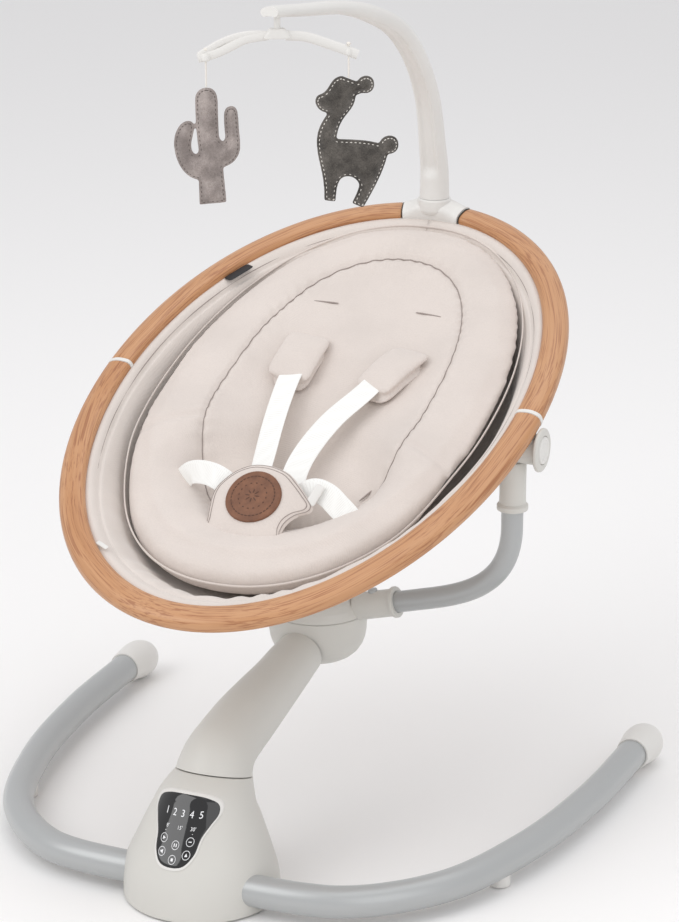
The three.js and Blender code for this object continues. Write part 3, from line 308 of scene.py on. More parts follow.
def moulded_plastic(name, code, roughness):
    """Moulded plastic: spark-eroded texture of about 0.3 mm, faint tone drift, slight sheen variation."""
    look, tree, shader = new_look(name, Roughness=roughness, Specular_IOR_Level=0.42)
    place = add(tree, "TexCoord").outputs["Object"]
    grain = add(tree, "TexNoise", {"Vector": place, "Scale": 2600.0, "Detail": 2.0, "Roughness": 0.6})
    drift = add(tree, "TexNoise", {"Vector": place, "Scale": 9.0, "Detail": 3.0})
    base = linear(code)
    darker = [c * 0.965 for c in base[:3]] + [1.0]
    tree.links.new(colour_ramp(tree, drift.outputs["Fac"], (0.3, darker), (0.7, base)),
                   shader.inputs["Base Color"])
    rough = add(tree, "MapRange",
                {"Value": drift.outputs["Fac"], "To Min": roughness - 0.04, "To Max": roughness + 0.05})
    tree.links.new(rough.outputs["Result"], shader.inputs["Roughness"])
    bumped(tree, shader, grain.outputs["Fac"], 0.00004, 0.5)
    return look


def painted_tube(name, code):
    """Satin silver paint on steel tube: fine flake and soft orange peel a few millimetres across."""
    look, tree, shader = new_look(name, Metallic=0.25, Roughness=0.34, Coat_Weight=0.25, Coat_Roughness=0.2)
    place = add(tree, "TexCoord").outputs["Object"]
    flake = add(tree, "TexVoronoi", {"Vector": place, "Scale": 2200.0})
    peel = add(tree, "TexNoise", {"Vector": place, "Scale": 320.0, "Detail": 1.0})
    base = linear(code)
    tree.links.new(colour_ramp(tree, flake.outputs["Distance"], (0.0, [c * 0.94 for c in base[:3]] + [1]),
                               (1.0, base)), shader.inputs["Base Color"])
    bumped(tree, shader, peel.outputs["Fac"], 0.00006, 0.35)
    return look


def oak_print():
    """Printed oak foil under satin lacquer; grain runs along the rim on the piece's own UV map."""
    look, tree, shader = new_look("oak_foil", Roughness=0.42, Coat_Weight=0.2, Coat_Roughness=0.3)
    uv = add(tree, "TexCoord").outputs["UV"]
    stretch = add(tree, "Mapping", {"Vector": uv, "Scale": (26.0, 5.2, 1.0)}).outputs["Vector"]
    warp = add(tree, "TexNoise", {"Vector": stretch, "Scale": 0.35, "Detail": 1.0})
    shifted = add(tree, "VectorMath", {0: stretch, 1: warp.outputs["Color"]},
                  operation="ADD").outputs["Vector"]
    squeezed = add(tree, "Mapping", {"Vector": shifted, "Scale": (1.0, 0.045, 1.0)}).outputs["Vector"]
    bands = add(tree, "TexNoise", {"Vector": squeezed, "Scale": 2.2, "Detail": 6.0, "Roughness": 0.62})
    pores = add(tree, "TexNoise", {"Vector": squeezed, "Scale": 26.0, "Detail": 3.0, "Roughness": 0.6})
    wood = colour_ramp(tree, bands.outputs["Fac"], (0.28, linear("A06B44")), (0.45, linear("BB8558")),
                       (0.60, linear("C6946A")), (0.78, linear("B07B50")))
    dark = colour_ramp(tree, pores.outputs["Fac"], (0.38, linear("B08058")), (0.50, linear("FFFFFF")))
    mixed = add(tree, "Mix", {"Factor": 0.55, "A": wood, "B": dark}, data_type="RGBA", blend_type="MULTIPLY")
    tree.links.new(mixed.outputs["Result"], shader.inputs["Base Color"])
    bumped(tree, shader, pores.outputs["Fac"], 0.00008, 0.4)
    return look


def knit_fabric(name, code, melange=0.03):
    """Brushed cotton jersey: 0.7 mm rib of fine stitches, melange flecks, soft fuzz sheen."""
    look, tree, shader = new_look(name, Roughness=0.92, Sheen_Weight=0.28, Sheen_Roughness=0.45,
                                  Specular_IOR_Level=0.2)
    place = add(tree, "TexCoord").outputs["Object"]
    seat_aligned = add(tree, "Mapping", {"Vector": place, "Rotation": (SEAT_TILT, 0, 0.12)}).outputs["Vector"]
    rib = add(tree, "TexWave", {"Vector": seat_aligned, "Scale": 230.0, "Distortion": 1.2, "Detail": 1.0,
                                "Detail Scale": 3.0}, bands_direction="X")
    course = add(tree, "TexWave", {"Vector": seat_aligned, "Scale": 190.0, "Distortion": 1.0, "Detail": 1.0},
                 bands_direction="Y")
    weave = add(tree, "Math", {0: rib.outputs["Fac"], 1: course.outputs["Fac"]}, operation="MULTIPLY")
    flecks = add(tree, "TexNoise", {"Vector": place, "Scale": 600.0, "Detail": 4.0, "Roughness": 0.7})
    cloud = add(tree, "TexNoise", {"Vector": place, "Scale": 14.0, "Detail": 3.0})
    base = linear(code)
    low = [c * (1 - melange * 2.4) for c in base[:3]] + [1]
    tone = add(tree, "Math", {0: flecks.outputs["Fac"], 1: cloud.outputs["Fac"]}, operation="MULTIPLY")
    tree.links.new(colour_ramp(tree, tone.outputs["Value"], (0.14, low), (0.34, base)),
                   shader.inputs["Base Color"])
    fuzz = bumped(tree, shader, flecks.outputs["Fac"], 0.0002, 0.35)
    bumped(tree, shader, weave.outputs["Value"], 0.00022, 0.55, fuzz)
    return look


def woven_webbing():
    """Polyester webbing: 1.1 mm ribs across the strap and a fine herringbone on its own UV map."""
    look, tree, shader = new_look("polyester_webbing", Roughness=0.62, Sheen_Weight=0.25)
    uv = add(tree, "TexCoord").outputs["UV"]
    ribs = add(tree, "TexWave",
               {"Vector": add(tree, "Mapping", {"Vector": uv, "Scale": (4.0, 46.0, 1)}).outputs["Vector"],
                "Scale": 3.0}, bands_direction="Y")
    fine = add(tree, "Mapping", {"Vector": uv, "Scale": (60.0, 130.0, 1)}).outputs["Vector"]
    herring = add(tree, "TexWave", {"Vector": fine, "Scale": 2.4}, bands_direction="DIAGONAL")
    both = add(tree, "Math", {0: ribs.outputs["Fac"], 1: herring.outputs["Fac"]}, operation="ADD")
    tree.links.new(colour_ramp(tree, both.outputs["Value"], (0.0, linear("E9E8E4")), (1.0, linear("F4F4F1"))),
                   shader.inputs["Base Color"])
    bumped(tree, shader, both.outputs["Value"], 0.00012, 0.4)
    return look


def wool_felt(name, code, light):
    """Pressed wool felt: matted fibres about a millimetre long, in two tones."""
    look, tree, shader = new_look(name, Roughness=0.96, Sheen_Weight=0.35, Specular_IOR_Level=0.15)
    place = add(tree, "TexCoord").outputs["Object"]
    fibres = add(tree, "TexNoise",
                 {"Vector": place, "Scale": 420.0, "Detail": 7.0, "Roughness": 0.75, "Distortion": 1.6})
    blotch = add(tree, "TexNoise", {"Vector": place, "Scale": 55.0, "Detail": 4.0})
    tone = add(tree, "Math", {0: fibres.outputs["Fac"], 1: blotch.outputs["Fac"]}, operation="MULTIPLY")
    tree.links.new(colour_ramp(tree, tone.outputs["Value"], (0.14, linear(code)), (0.40, linear(light))),
                   shader.inputs["Base Color"])
    bumped(tree, shader, fibres.outputs["Fac"], 0.0007, 0.7)
    return look


def badge_leather():
    """Embossed brown leatherette: fine pebble grain of about 0.8 mm."""
    look, tree, shader = new_look("embossed_leatherette", Roughness=0.55)
    place = add(tree, "TexCoord").outputs["Object"]
    pebble = add(tree, "TexVoronoi", {"Vector": place, "Scale": 1100.0}, feature="DISTANCE_TO_EDGE")
    tone = add(tree, "TexNoise", {"Vector": place, "Scale": 90.0, "Detail": 4.0})
    tree.links.new(colour_ramp(tree, tone.outputs["Fac"], (0.3, linear("6A4430")), (0.7, linear("85593F"))),
                   shader.inputs["Base Color"])
    bumped(tree, shader, pebble.outputs["Distance"], 0.0002, 0.5)
    return look


def plain_look(name, code, roughness, **sockets):
    """A small moulded or printed detail: flat colour with a fine grain so that it isn't glassy."""
    look, tree, shader = new_look(name, Roughness=roughness, Base_Color=linear(code), **sockets)
    place = add(tree, "TexCoord").outputs["Object"]
    grain = add(tree, "TexNoise", {"Vector": place, "Scale": 900.0, "Detail": 2.0})
    bumped(tree, shader, grain.outputs["Fac"], 0.00003, 0.3)
    return look


LOOKS = {}


def make_looks(colours):
    LOOKS.update(shell=moulded_plastic("abs_shell", colours.shell, 0.42),
                 strip=moulded_plastic("abs_white", colours.strip, 0.38),
                 tube=painted_tube("satin_silver_paint", colours.tube), wood=oak_print(),
                 fabric=knit_fabric("cotton_jersey", colours.fabric),
                 liner=knit_fabric("liner_jersey", colours.liner, 0.02),
                 # The seam look is thread colour and also painted shade: its darker tone stands for the shade
                 # in seam lines, the zip line and the strap slots.
                 seam=knit_fabric("seam_thread_and_shade", colours.seam, 0.06), webbing=woven_webbing(),
                 badge=badge_leather(), badge_relief=plain_look("pressed_leatherette", "553422", 0.5),
                 cactus=wool_felt("taupe_felt", "7E7571", "B4A9A4"),
                 llama=wool_felt("charcoal_felt", "33302D", "6E6963"),
                 stitch=plain_look("cotton_thread", "E7E2DA", 0.8),
                 dark_stitch=plain_look("dark_thread", "5E5652", 0.8),
                 glass=plain_look("panel_gloss", "060607", 0.06, Coat_Weight=0.6, Coat_Roughness=0.03),
                 # Painted glow: the panel's printed marks get a faint emission so that they read bright on
                 # the black gloss.
                 print=plain_look("panel_print", "D9DADB", 0.4, Emission_Color=linear("E8E8EA"),
                                  Emission_Strength=0.25), dark=plain_look("shadow_gap", "4A4744", 0.7),
                 black=plain_look("tag_satin", "17171A", 0.5),
                 steel=plain_look("machined_steel", "8E9092", 0.35, Metallic=1.0),
                 rubber=plain_look("foot_rubber", "C9C6C0", 0.7),
                 board=plain_look("circuit_board", "1F5A3A", 0.6))


# ------------------------------------------------------------------ stage and camera
def look_from(camera, location, back):
    camera.location = location
    camera.rotation_euler = (-Vector(back)).to_track_quat("-Z", "Y").to_euler()


FLOOR_SIZE = 30000


class SWING_OT_stage(bpy.types.Operator):
    """Floor, soft studio lights and the camera"""
    bl_idname = "swing.stage"
    bl_label = "Stage"

    def execute(self, context):
        azimuth, elevation = math.radians(23.32), math.radians(18.58)
        back = Vector((math.sin(azimuth) * math.cos(elevation), -math.cos(azimuth) * math.cos(elevation),
                       math.sin(elevation)))
        deselect()
        bpy.ops.object.camera_add()
        camera = context.object
        camera.data.lens, camera.data.sensor_width = 120.13, 36.0
        camera.data.clip_end = 50
        look_from(camera, Vector((1.21817, -2.48115, 1.37620)), back)
        context.scene.camera = camera

        def floor_place(u, v):
            return Vector(((u - 0.5) * FLOOR_SIZE, (v - 0.5) * FLOOR_SIZE, -1.2))
        floor = shaped_grid("studio_floor", 4, 4, floor_place)
        floor.data.materials.append(plain_look("studio_paper", "F7F6F5", 0.9))

        for name, place, size, power in (("key", (-1.5, -1.9, 2.5), 2.2, 31),
                                         ("fill", (2.4, -1.6, 1.7), 2.4, 15),
                                         ("top", (0.2, 0.6, 3.0), 3.0, 21)):
            bpy.ops.object.light_add(type="AREA", location=place)
            light = context.object
            light.name = name + "_light"
            light.data.shape, light.data.size, light.data.energy = "SQUARE", size, power
            towards = Vector((0, 0.25, 0.35)) - Vector(place)
            light.rotation_euler = towards.to_track_quat("-Z", "Y").to_euler()
        world = context.scene.world or bpy.data.worlds.new("studio")
        context.scene.world = world
        world.use_nodes = True
        background = world.node_tree.nodes["Background"]
        background.inputs["Color"].default_value = (0.98, 0.98, 1.0, 1)
        background.inputs["Strength"].default_value = 0.74
        context.scene.view_settings.view_transform = "Standard"
        return {"FINISHED"}


# ------------------------------------------------------------------ strings and toys
def mobile_point(x, z, forward=0.0):
    """A point of the hanging bar: x along it, forward across it."""
    return Vector((x * math.cos(MOBILE_TURN) - forward * math.sin(MOBILE_TURN),
                   MOBILE_Y + x * math.sin(MOBILE_TURN) + forward * math.cos(MOBILE_TURN), z))


BAR_ALONG = mobile_point(1, 0) - mobile_point(0, 0)
STRINGS = (  # toy, side, height where the string leaves the bar, drop to the toy, height of the knot
    ("cactus", -1, HUB_BOTTOM - 21, 26, HUB_BOTTOM - 11.5),
    ("llama", 1, HUB_BOTTOM - 17, 23, HUB_BOTTOM - 7.5),
)


class SWING_OT_strings(bpy.types.Operator):
    """The two strings of the toys and their knots on the bar"""
    bl_idname = "swing.strings"
    bl_label = "Toy strings"

    def execute(self, context):
        for toy, side, exit_height, drop, knot_height in STRINGS:
            low = exit_height - drop + 0.7
            x = side * STRING_AT
            points = [mobile_point(x, low), mobile_point(x, (low + knot_height) / 2),
                      mobile_point(x, knot_height)]

            def section(angle, share):
                twist = 0.9 + 0.07 * math.cos(3 * angle + share * 60)
                return twist * math.cos(angle), twist * math.sin(angle)
            string = swept(toy + "_cord", points, BAR_ALONG, section, 12, 90)
            settle(string, LOOKS["stitch"], "mobile", "webbing", toy + "_string")
            knot = ball(toy + "_knot", mobile_point(x, knot_height + 1.6), (2.3, 2.1, 1.7))
            settle(knot, LOOKS["stitch"], "mobile", "webbing")
        return {"FINISHED"}


def ball(name, centre, radii, sides=20, lumps=0.12):
    """A slightly lumpy tied knot or rounded bead."""
    def place(u, v):
        turn, rise = 2 * math.pi * u, math.pi * (v - 0.5)
        point = Vector((math.cos(rise) * math.cos(turn), math.cos(rise) * math.sin(turn), math.sin(rise)))
        size = 1 + lumps * math.sin(3 * turn + 4 * rise) * math.cos(rise)
        return centre + Vector((point.x * radii[0], point.y * radii[1], point.z * radii[2])) * size
    return shaped_grid(name, sides, sides // 2, place)


# Toy outlines: each entry is a straight run's end or three points of a bent run, from the string's foot.
CACTUS = ((0.5, 0), [(7, 0), (10.6, -5), (11, -12)], [(11.3, -25), (11.3, -36), (12, -48)],
          [(13, -55), (18, -55), (17.8, -48)], [(17.4, -42), (16.6, -34), (16.8, -28)],
          [(17, -21), (20, -18.5), (24, -18.5)], [(28.5, -18.5), (30.4, -22), (30.8, -30)],
          [(31, -40), (32.4, -48), (32.4, -58)], [(32.4, -70), (24, -77), (15.5, -79)], (18.6, -114),
          (-8, -116), (-8.6, -91), [(-24, -89), (-32, -70), (-32, -55)],
          [(-32, -41), (-24, -32.5), (-18, -32.5)], [(-10, -32.5), (-12, -40), (-15, -54)],
          [(-16.5, -64), (-10, -70), (-8, -62)], [(-10, -48), (-11, -30), (-11, -12)],
          [(-11, -4), (-5, 0), (0.5, 0)])
LLAMA = ((0, 0), (8.8, -3.3), [(10, 4), (25, 6), (25.1, -6.2)], [(25.1, -12), (19, -16.5), (13.8, -14.1)],
         (6.9, -16.6), [(6.4, -34), (-9, -34), (-11.8, -59.4)], [(0, -60.5), (17, -60), (30, -64.5)],
         [(33, -54), (49, -54), (49, -66)], [(49, -72), (44, -76), (38.4, -74.9)],
         [(35, -92), (24, -112), (14.5, -128.6)], (3.4, -124), [(7, -116), (10.5, -110), (10.5, -105)],
         [(7, -95), (-7, -94), (-9.6, -103)], [(-12, -108), (-12, -115), (-12.7, -122)], (-23.9, -120.6),
         [(-23, -92), (-31, -82), (-31, -62)], [(-31, -48), (-24, -40), (-20, -33.5)],
         [(-31, -33), (-36.5, -20), (-28.8, -15.6)], [(-17, -13), (-20, 1), (-6.5, 2.7)], (0, 0))


def outline_points(outline, step=2.2):
    """Evenly spaced points of an outline made of straight and bent runs."""
    dense, here = [], Vector(outline[0])
    for run in outline[1:]:
        controls = [here, *[Vector(p) for p in run]] if isinstance(run, list) else None
        end = controls[3] if controls else Vector(run)
        for i in range(1, 25):
            t = i / 24
            if controls:
                a, b, c, d = controls
                dense.append(bent(a, b, c, d, t))
            else:
                dense.append(here.lerp(end, t))
        here = end
    length = sum((b - a).length for a, b in zip(dense, dense[1:] + dense[:1]))
    count, kept, run_length, target = round(length / step), [], 0.0, 0.0
    for a, b in zip(dense, dense[1:] + dense[:1]):
        piece = (b - a).length
        while piece > 1e-9 and target <= run_length + piece and len(kept) < count:
            kept.append(a.lerp(b, (target - run_length) / piece))
            target += length / count
        run_length += piece
    return kept


def felt_toy(name, outline, side, top, look, thread, thickness):
    """A flat stuffed toy: two felt faces puffed up from a thin stitched hem."""
    points = outline_points(outline)
    deselect()
    bpy.ops.mesh.primitive_circle_add(vertices=len(points), radius=1, fill_type="NGON")
    obj = bpy.context.object
    obj.name = "felt_" + name
    for vertex, point in zip(obj.data.vertices, points):
        vertex.co = (point.x * MM, 0, point.y * MM)
    bpy.ops.object.mode_set(mode="EDIT")
    bpy.ops.mesh.select_all(action="SELECT")
    bpy.ops.mesh.quads_convert_to_tris(ngon_method="BEAUTY")
    bpy.ops.object.mode_set(mode="OBJECT")
    applied(obj, "SOLIDIFY", thickness=0.0036, offset=0)
    applied(obj, "REMESH", mode="VOXEL", voxel_size=0.0011)
    for vertex in obj.data.vertices:
        near = edge_distance((vertex.co.x / MM, vertex.co.z / MM), points)
        puff = (thickness / 2 - 1.4) * min(1, max(0, (near - 2.6) / 7.5)) ** 0.5
        crease = noise.noise(Vector((vertex.co.x, 0, vertex.co.z)) * 62) * 0.9 * min(1, near / 6)
        groove = -0.45 * math.exp(-((near - 2.5) / 0.8) ** 2)
        vertex.co.y += math.copysign(puff + crease + groove, vertex.co.y) * MM
    applied(obj, "SMOOTH", factor=0.6, iterations=4)
    bpy.ops.object.shade_smooth()
    stitches = hem_stitches(name + "_stitches", points, obj)
    turn = Matrix.Translation(mobile_point(side * STRING_AT, top) * MM) @ Matrix.Rotation(MOBILE_TURN, 4, "Z")
    for piece in (obj, stitches):
        piece.data.transform(turn)
    settle(obj, look, name, "felt_light" if side < 0 else "felt_dark", name)
    settle(stitches, thread, name, "webbing")
    return obj


def edge_distance(place, points):
    here = Vector(place)
    best = 1e9
    for a, b in zip(points, points[1:] + points[:1]):
        run = b - a
        t = min(1, max(0, (here - a).dot(run) / max(run.length_squared, 1e-9)))
        best = min(best, (here - a - run * t).length)
    return best


def hem_stitches(name, points, felt):
    """Running stitches on both faces, 2.5 mm inside the edge."""
    count = len(points)
    area = sum(a.x * b.y - b.x * a.y for a, b in zip(points, points[1:] + points[:1]))
    inward = 1 if area > 0 else -1
    made = []
    for i in range(0, count, 2):
        a, b = points[i - 1], points[(i + 1) % count]
        travel = (b - a).normalized()
        centre = points[i] + Vector((-travel.y, travel.x)) * inward * 2.5
        if edge_distance(centre, points) < 2.0:
            continue
        for face in (-1, 1):
            hit, place, _, _ = felt.ray_cast((centre.x * MM, face * 0.03, centre.y * MM), (0, -face, 0))
            height = place.y / MM if hit else face * 1.9
            deselect()
            bpy.ops.mesh.primitive_uv_sphere_add(segments=6, ring_count=4, radius=1)
            stitch = bpy.context.object
            along = Vector((travel.x, 0, travel.y))
            for vertex in stitch.data.vertices:
                x, y, z = vertex.co
                vertex.co = (Vector((centre.x, height, centre.y)) + along * x * 1.35 + Vector((0, y * 0.4, 0))
                             + Vector((-travel.y, 0, travel.x)) * z * 0.5) * MM
            made.append(stitch)
    obj = joined(name, made)
    bpy.ops.object.shade_smooth()
    return obj


class SWING_OT_toys(bpy.types.Operator):
    """Felt cactus and llama"""
    bl_idname = "swing.toys"
    bl_label = "Felt toys"

    def execute(self, context):
        tops = {toy: exit_height - drop for toy, _, exit_height, drop, _ in STRINGS}
        felt_toy("cactus", CACTUS, -1, tops["cactus"], LOOKS["cactus"], LOOKS["dark_stitch"], 15)
        felt_toy("llama", LLAMA, 1, tops["llama"], LOOKS["llama"], LOOKS["stitch"], 15)
        return {"FINISHED"}


# ------------------------------------------------------------------ toy arm and mobile bar
def rounded_arm(angle, share, groove=True):
    """Section of the toy arm: round outside, a shallow channel along the inner side."""
    half_width, half_height = Vector(route_at([(k[2], k[3], 0) for k in TOY_ARM_KNOTS], share)).xy
    x, y = math.cos(angle), math.sin(angle)
    if groove:
        y += 0.34 * smooth(-y, 0.80, 0.97) * smooth(share, 0.12, 0.2)
    return x * half_width, y * half_height


class SWING_OT_toy_arm(bpy.types.Operator):
    """Curved toy arm, its hanging bar and hub"""
    bl_idname = "swing.toy_arm"
    bl_label = "Toy arm"

    def execute(self, context):
        points = [(0, y, z) for y, z, _, _ in TOY_ARM_KNOTS]
        arm = swept("toy_arm_shell", points, Vector((1, 0, 0)), rounded_arm, 48, 120)
        settle(arm, LOOKS["strip"], "toy_arm", "shell", "toy_arm")
        hub = HUB_BOTTOM

        def bar(name, route, radius, flat=1.0):
            return swept(name, [mobile_point(x, z) for x, z in route],
                         mobile_point(0, 0, 1) - mobile_point(0, 0), lambda a,
                         s: (radius * math.cos(a), radius * flat * math.sin(a)), 16, 40)
        pieces = [bar("lower_rod",
                      [(-8, hub + 3), (-30, hub - 0.5), (-44, hub - 7), (-58, hub - 13.5),
                       (-77, hub - 18.5)], 2.3, 2.0),
                  bar("upper_rod",
                      [(-8, hub + 4), (-26, hub + 4.5), (-42, hub + 1.5), (-58, hub - 5), (-76, hub - 16)],
                      1.5, 2.2),
                  bar("right_rod",
                      [(8, hub + 2.8), (28, hub + 1), (48, hub - 5.5), (67, hub - 12.5), (78, hub - 17)],
                      2.7, 1.8),
                  turned("left_end", [(0, -21), (3.6, -21), (4.6, -20), (4.8, -16), (3.5, -14), (0, -14)],
                         UP, mobile_point(-STRING_AT, hub), 24),
                  turned("right_end",
                         [(0, -17), (3.2, -17), (3.9, -16), (3.9, -12), (2.8, -10.5), (0, -10.5)], UP,
                         mobile_point(STRING_AT, hub), 24),
                  turned("stem", [(0, 8), (3.2, 8), (3.2, 23), (0, 23)], UP, mobile_point(0, hub), 24)]

        def hub_place(u, v):
            turn = 2 * math.pi * u
            half, deep, z = profile3([(0, 0, 0), (12.6, 5.6, 0), (13.4, 6, 1), (12, 6, 4), (8.6, 5.6, 8.6),
                                      (7.2, 5.0, 9.6), (0, 0, 9.6)], v)
            x = half * math.copysign(abs(math.cos(turn)) ** 0.45, math.cos(turn))
            y = deep * math.copysign(abs(math.sin(turn)) ** 0.45, math.sin(turn))
            return mobile_point(x, hub + z, y)
        pieces.append(shaped_grid("bar_hub", 40, 24, hub_place, 40))
        settle(joined("hanging_bar", pieces), LOOKS["strip"], "mobile", "shell", "mobile_bar")
        return {"FINISHED"}


def profile3(points, share):
    position = share * (len(points) - 1)
    step = min(int(position), len(points) - 2)
    return Vector(points[step]).lerp(Vector(points[step + 1]), position - step)


# ------------------------------------------------------------------ base, legs, arm and hub
def profile4(rings, share):
    """Smoothly interpolated ring values along a list of rings."""
    low = [Vector(r[:3]) for r in rings]
    value = route_at(low, share)
    radii = route_at([(r[3], r[1], 0) for r in rings], share)
    return value.x, value.y, value.z, radii.x


def ring_point(rings, share, angle, grow=0.0):
    y, z, lean, radius = profile4(rings, share)
    lean = math.radians(lean)
    radius += grow
    a, b = radius * math.cos(angle), radius * math.sin(angle)
    return Vector((a, y + b * math.cos(lean), z - b * math.sin(lean)))


def casing_front(x, z, grow=0.0):
    """The point of the casing's front surface straight ahead of (x, z)."""
    low, high = 0.0, 1.0
    for _ in range(30):
        middle = (low + high) / 2
        y0, z0, lean, radius = profile4(CASING_RINGS, middle)
        depth = math.sqrt(max(0.0, (radius + grow) ** 2 - x * x))
        if z0 + depth * math.sin(math.radians(lean)) < z:
            low = middle
        else:
            high = middle
    y0, z0, lean, radius = profile4(CASING_RINGS, low)
    depth = math.sqrt(max(0.0, (radius + grow) ** 2 - x * x))
    return Vector((x, y0 - depth * math.cos(math.radians(lean)), z))


def panel_edge(turn, grow):
    """Bell-shaped outline of the panel at an angle, in x and z."""
    half = [(0, -1), (0.38, -0.92), (0.62, -0.6), (0.71, -0.15), (0.87, 0.2), (1, 0.48), (0.94, 0.74),
            (0.6, 0.93), (0, 1)]
    loop = [(x * (33 + grow), 84.5 + z * (30.5 + grow), 0) for x, z in half]
    loop += [(-x, z, 0) for x, z, _ in reversed(loop[1:-1])]
    loop = loop[-2:] + loop + loop[:3]
    share = (2 + turn * 16) / (len(loop) - 1)
    return route_at(loop, share)


def panel_grid(name, outer, inner, low, high, rounding, columns=120):
    """A bell-shaped ring or plate lying on the casing's front."""
    rows = 18

    def place(u, v):
        edge, hole = panel_edge(u, outer), panel_edge(u, inner) if inner is not None else Vector((0, 84.5, 0))
        across = min(1, max(0, (v - 0.1) / 0.8))
        point = edge.lerp(hole, across)
        rise = low + (high - low) * (min(1, (1 - abs(2 * v - 1)) * rounding) ** 0.6 if inner is not None
                                     else min(1, v * rounding) ** 0.6)
        return casing_front(point.x, point.y, rise)
    return shaped_grid(name, columns, rows, place, 50)


def flat_text(body, x, z, height):
    """Digits laid on the casing's front, a little proud of the gloss."""
    deselect()
    bpy.ops.object.text_add()
    obj = bpy.context.object
    obj.data.body, obj.data.size, obj.data.align_x = body, height, "CENTER"
    obj.data.resolution_u = 3
    bpy.ops.object.convert(target="MESH")
    for vertex in obj.data.vertices:
        vertex.co = casing_front(x + vertex.co.x, z + vertex.co.y, 0.85) * MM
    return obj


def flat_ring(x, z, radius, width=0.45):
    def place(u, v):
        turn = 2 * math.pi * u
        size = radius - width * v
        return casing_front(x + size * math.cos(turn), z + size * math.sin(turn), 0.85)
    return shaped_grid("ring", 32, 1, place)


def flat_patch(x, z, corners):
    deselect()
    bpy.ops.mesh.primitive_circle_add(vertices=len(corners), radius=1, fill_type="NGON")
    obj = bpy.context.object
    for vertex, (a, b) in zip(obj.data.vertices, corners):
        vertex.co = casing_front(x + a, z + b, 0.85) * MM
    return obj


class SWING_OT_base(bpy.types.Operator):
    """Leaning casing, control panel and its printed marks, which are given a faint painted glow"""
    bl_idname = "swing.base"
    bl_label = "Base casing"

    def execute(self, context):
        def casing_place(u, v):
            angle = 2 * math.pi * u
            if v < 0.06:
                return ring_point(CASING_RINGS, 0.0, angle, -3 * (1 - v / 0.06)) + Vector((0, 0, 0.9))
            if v > 0.96:
                return ring_point(CASING_RINGS, 1.0, angle, -(v - 0.96) / 0.04 * 9)
            lift = Vector((0, 0, 0.9 * (1 - smooth(v, 0.06, 0.2))))
            return ring_point(CASING_RINGS, (v - 0.06) / 0.90, angle) + lift
        casing = shaped_grid("casing_shell", 144, 90, casing_place, 45)
        applied(casing, "SOLIDIFY", thickness=0.0022, offset=-1)
        settle(casing, LOOKS["shell"], "base", "shell", "base_casing")
        bezel = panel_grid("panel_rim", 2.2, -0.2, -0.3, 1.0, 2.4)
        settle(bezel, LOOKS["strip"], "base", "shell", "panel_bezel")
        panel = panel_grid("panel_glass", 0, None, -0.2, 0.6, 12)
        settle(panel, LOOKS["glass"], "base", "panel", "control_panel")
        marks = [flat_text(str(i + 1), -17.5 + 9 * i, 96.5, 8.5) for i in range(5)]
        marks += [flat_text(text, x, 86, 4.6) for text, x in (("8'", -13), ("15'", 0.5), ("30'", 14))]
        marks.append(flat_patch(0, 83.2, [(-15, 0), (15, 0), (15, 0.35), (-15, 0.35)]))
        for x, z in ((-14, 77), (14, 77), (0, 73), (-13, 66), (13, 66), (0, 61)):
            marks.append(flat_ring(x, z, 3.9))
        for x, z, corners in ((-14, 77, [(-1.3, -1.6), (1.8, 0), (-1.3, 1.6)]),
                              (14, 77, [(-1.5, -0.4), (1.5, -0.4), (1.5, 0.4), (-1.5, 0.4)]),
                              (0, 73, [(-1.6, -1.4), (-0.6, -1.4), (-0.6, 1.4), (-1.6, 1.4)]),
                              (0, 73, [(0.6, -1.4), (1.6, -1.4), (1.6, 1.4), (0.6, 1.4)]),
                              (-13, 66,
                               [(-1.7, -0.7), (-0.4, -0.7), (1.2, -1.9), (1.2, 1.9), (-0.4, 0.7),
                                (-1.7, 0.7)]), (13, 66, [(-1.5, -1.2), (1.5, -1.2), (0, 1.6)]),
                              (0, 61, [(-1.2, -1.2), (1.2, -1.2), (1.2, 1.2), (-1.2, 1.2)])):
            marks.append(flat_patch(x, z, corners))
        # The marks carry the print look with its faint painted glow.
        settle(joined("panel_marks", marks), LOOKS["print"], "base", "panel")
        for node, look, slot in (("base_pad", "rubber", "rubber"), ("base_plate", "shell", "shell"),
                                 ("power_inlet", "black", "rubber"), ("drive_frame", "steel", "steel"),
                                 ("control_board", "board", "board")):
            settle(merged_copy(node, node + "_finish"), LOOKS[look], "base", slot, node)
        return {"FINISHED"}


class SWING_OT_legs(bpy.types.Operator):
    """C-shaped leg tubes, their soft end caps and feet"""
    bl_idname = "swing.legs"
    bl_label = "Legs"

    def execute(self, context):
        end_x, end_y = LEG_ROUTE[-1][:2]
        cap_rings = [(end_y - 16, 24, 15.7), (end_y - 16.2, 24, 17.6), (end_y - 14, 24, 18.2),
                     (end_y, 23.4, 19.8), (end_y + 14, 22.2, 21.6), (end_y + 27, 21.4, 20.9),
                     (end_y + 38, 21, 16.6), (end_y + 45, 21, 10), (end_y + 48, 21, 3.5),
                     (end_y + 48.6, 21, 0)]
        for side_name, side in SIDES:
            route = [(side * x, y, z) for x, y, z in LEG_ROUTE]
            leg = swept("leg_" + side_name, route, UP, lambda a,
                        s: (LEG_RADIUS * math.cos(a), LEG_RADIUS * math.sin(a)), 40, 120, ends=False)
            settle(leg, LOOKS["tube"], "base", "tube", "leg_tube_" + side_name)

            def cap_place(u, v, side=side):
                turn = 2 * math.pi * u
                y, z, radius = route_at(cap_rings, min(1, v))
                radius = max(0.0, radius if v < 0.999 else 0)
                point = Vector((side * end_x + radius * math.cos(turn), y,
                                max(0.1, z + radius * math.sin(turn))))
                return point
            cap = shaped_grid("leg_end_" + side_name, 48, 54, cap_place, 60)
            settle(cap, LOOKS["strip"], "base", "shell", "leg_cap_" + side_name)
            foot = merged_copy("leg_foot_" + side_name, "foot_" + side_name)
            settle(foot, LOOKS["strip"], "base", "shell", "leg_foot_" + side_name)
        return {"FINISHED"}


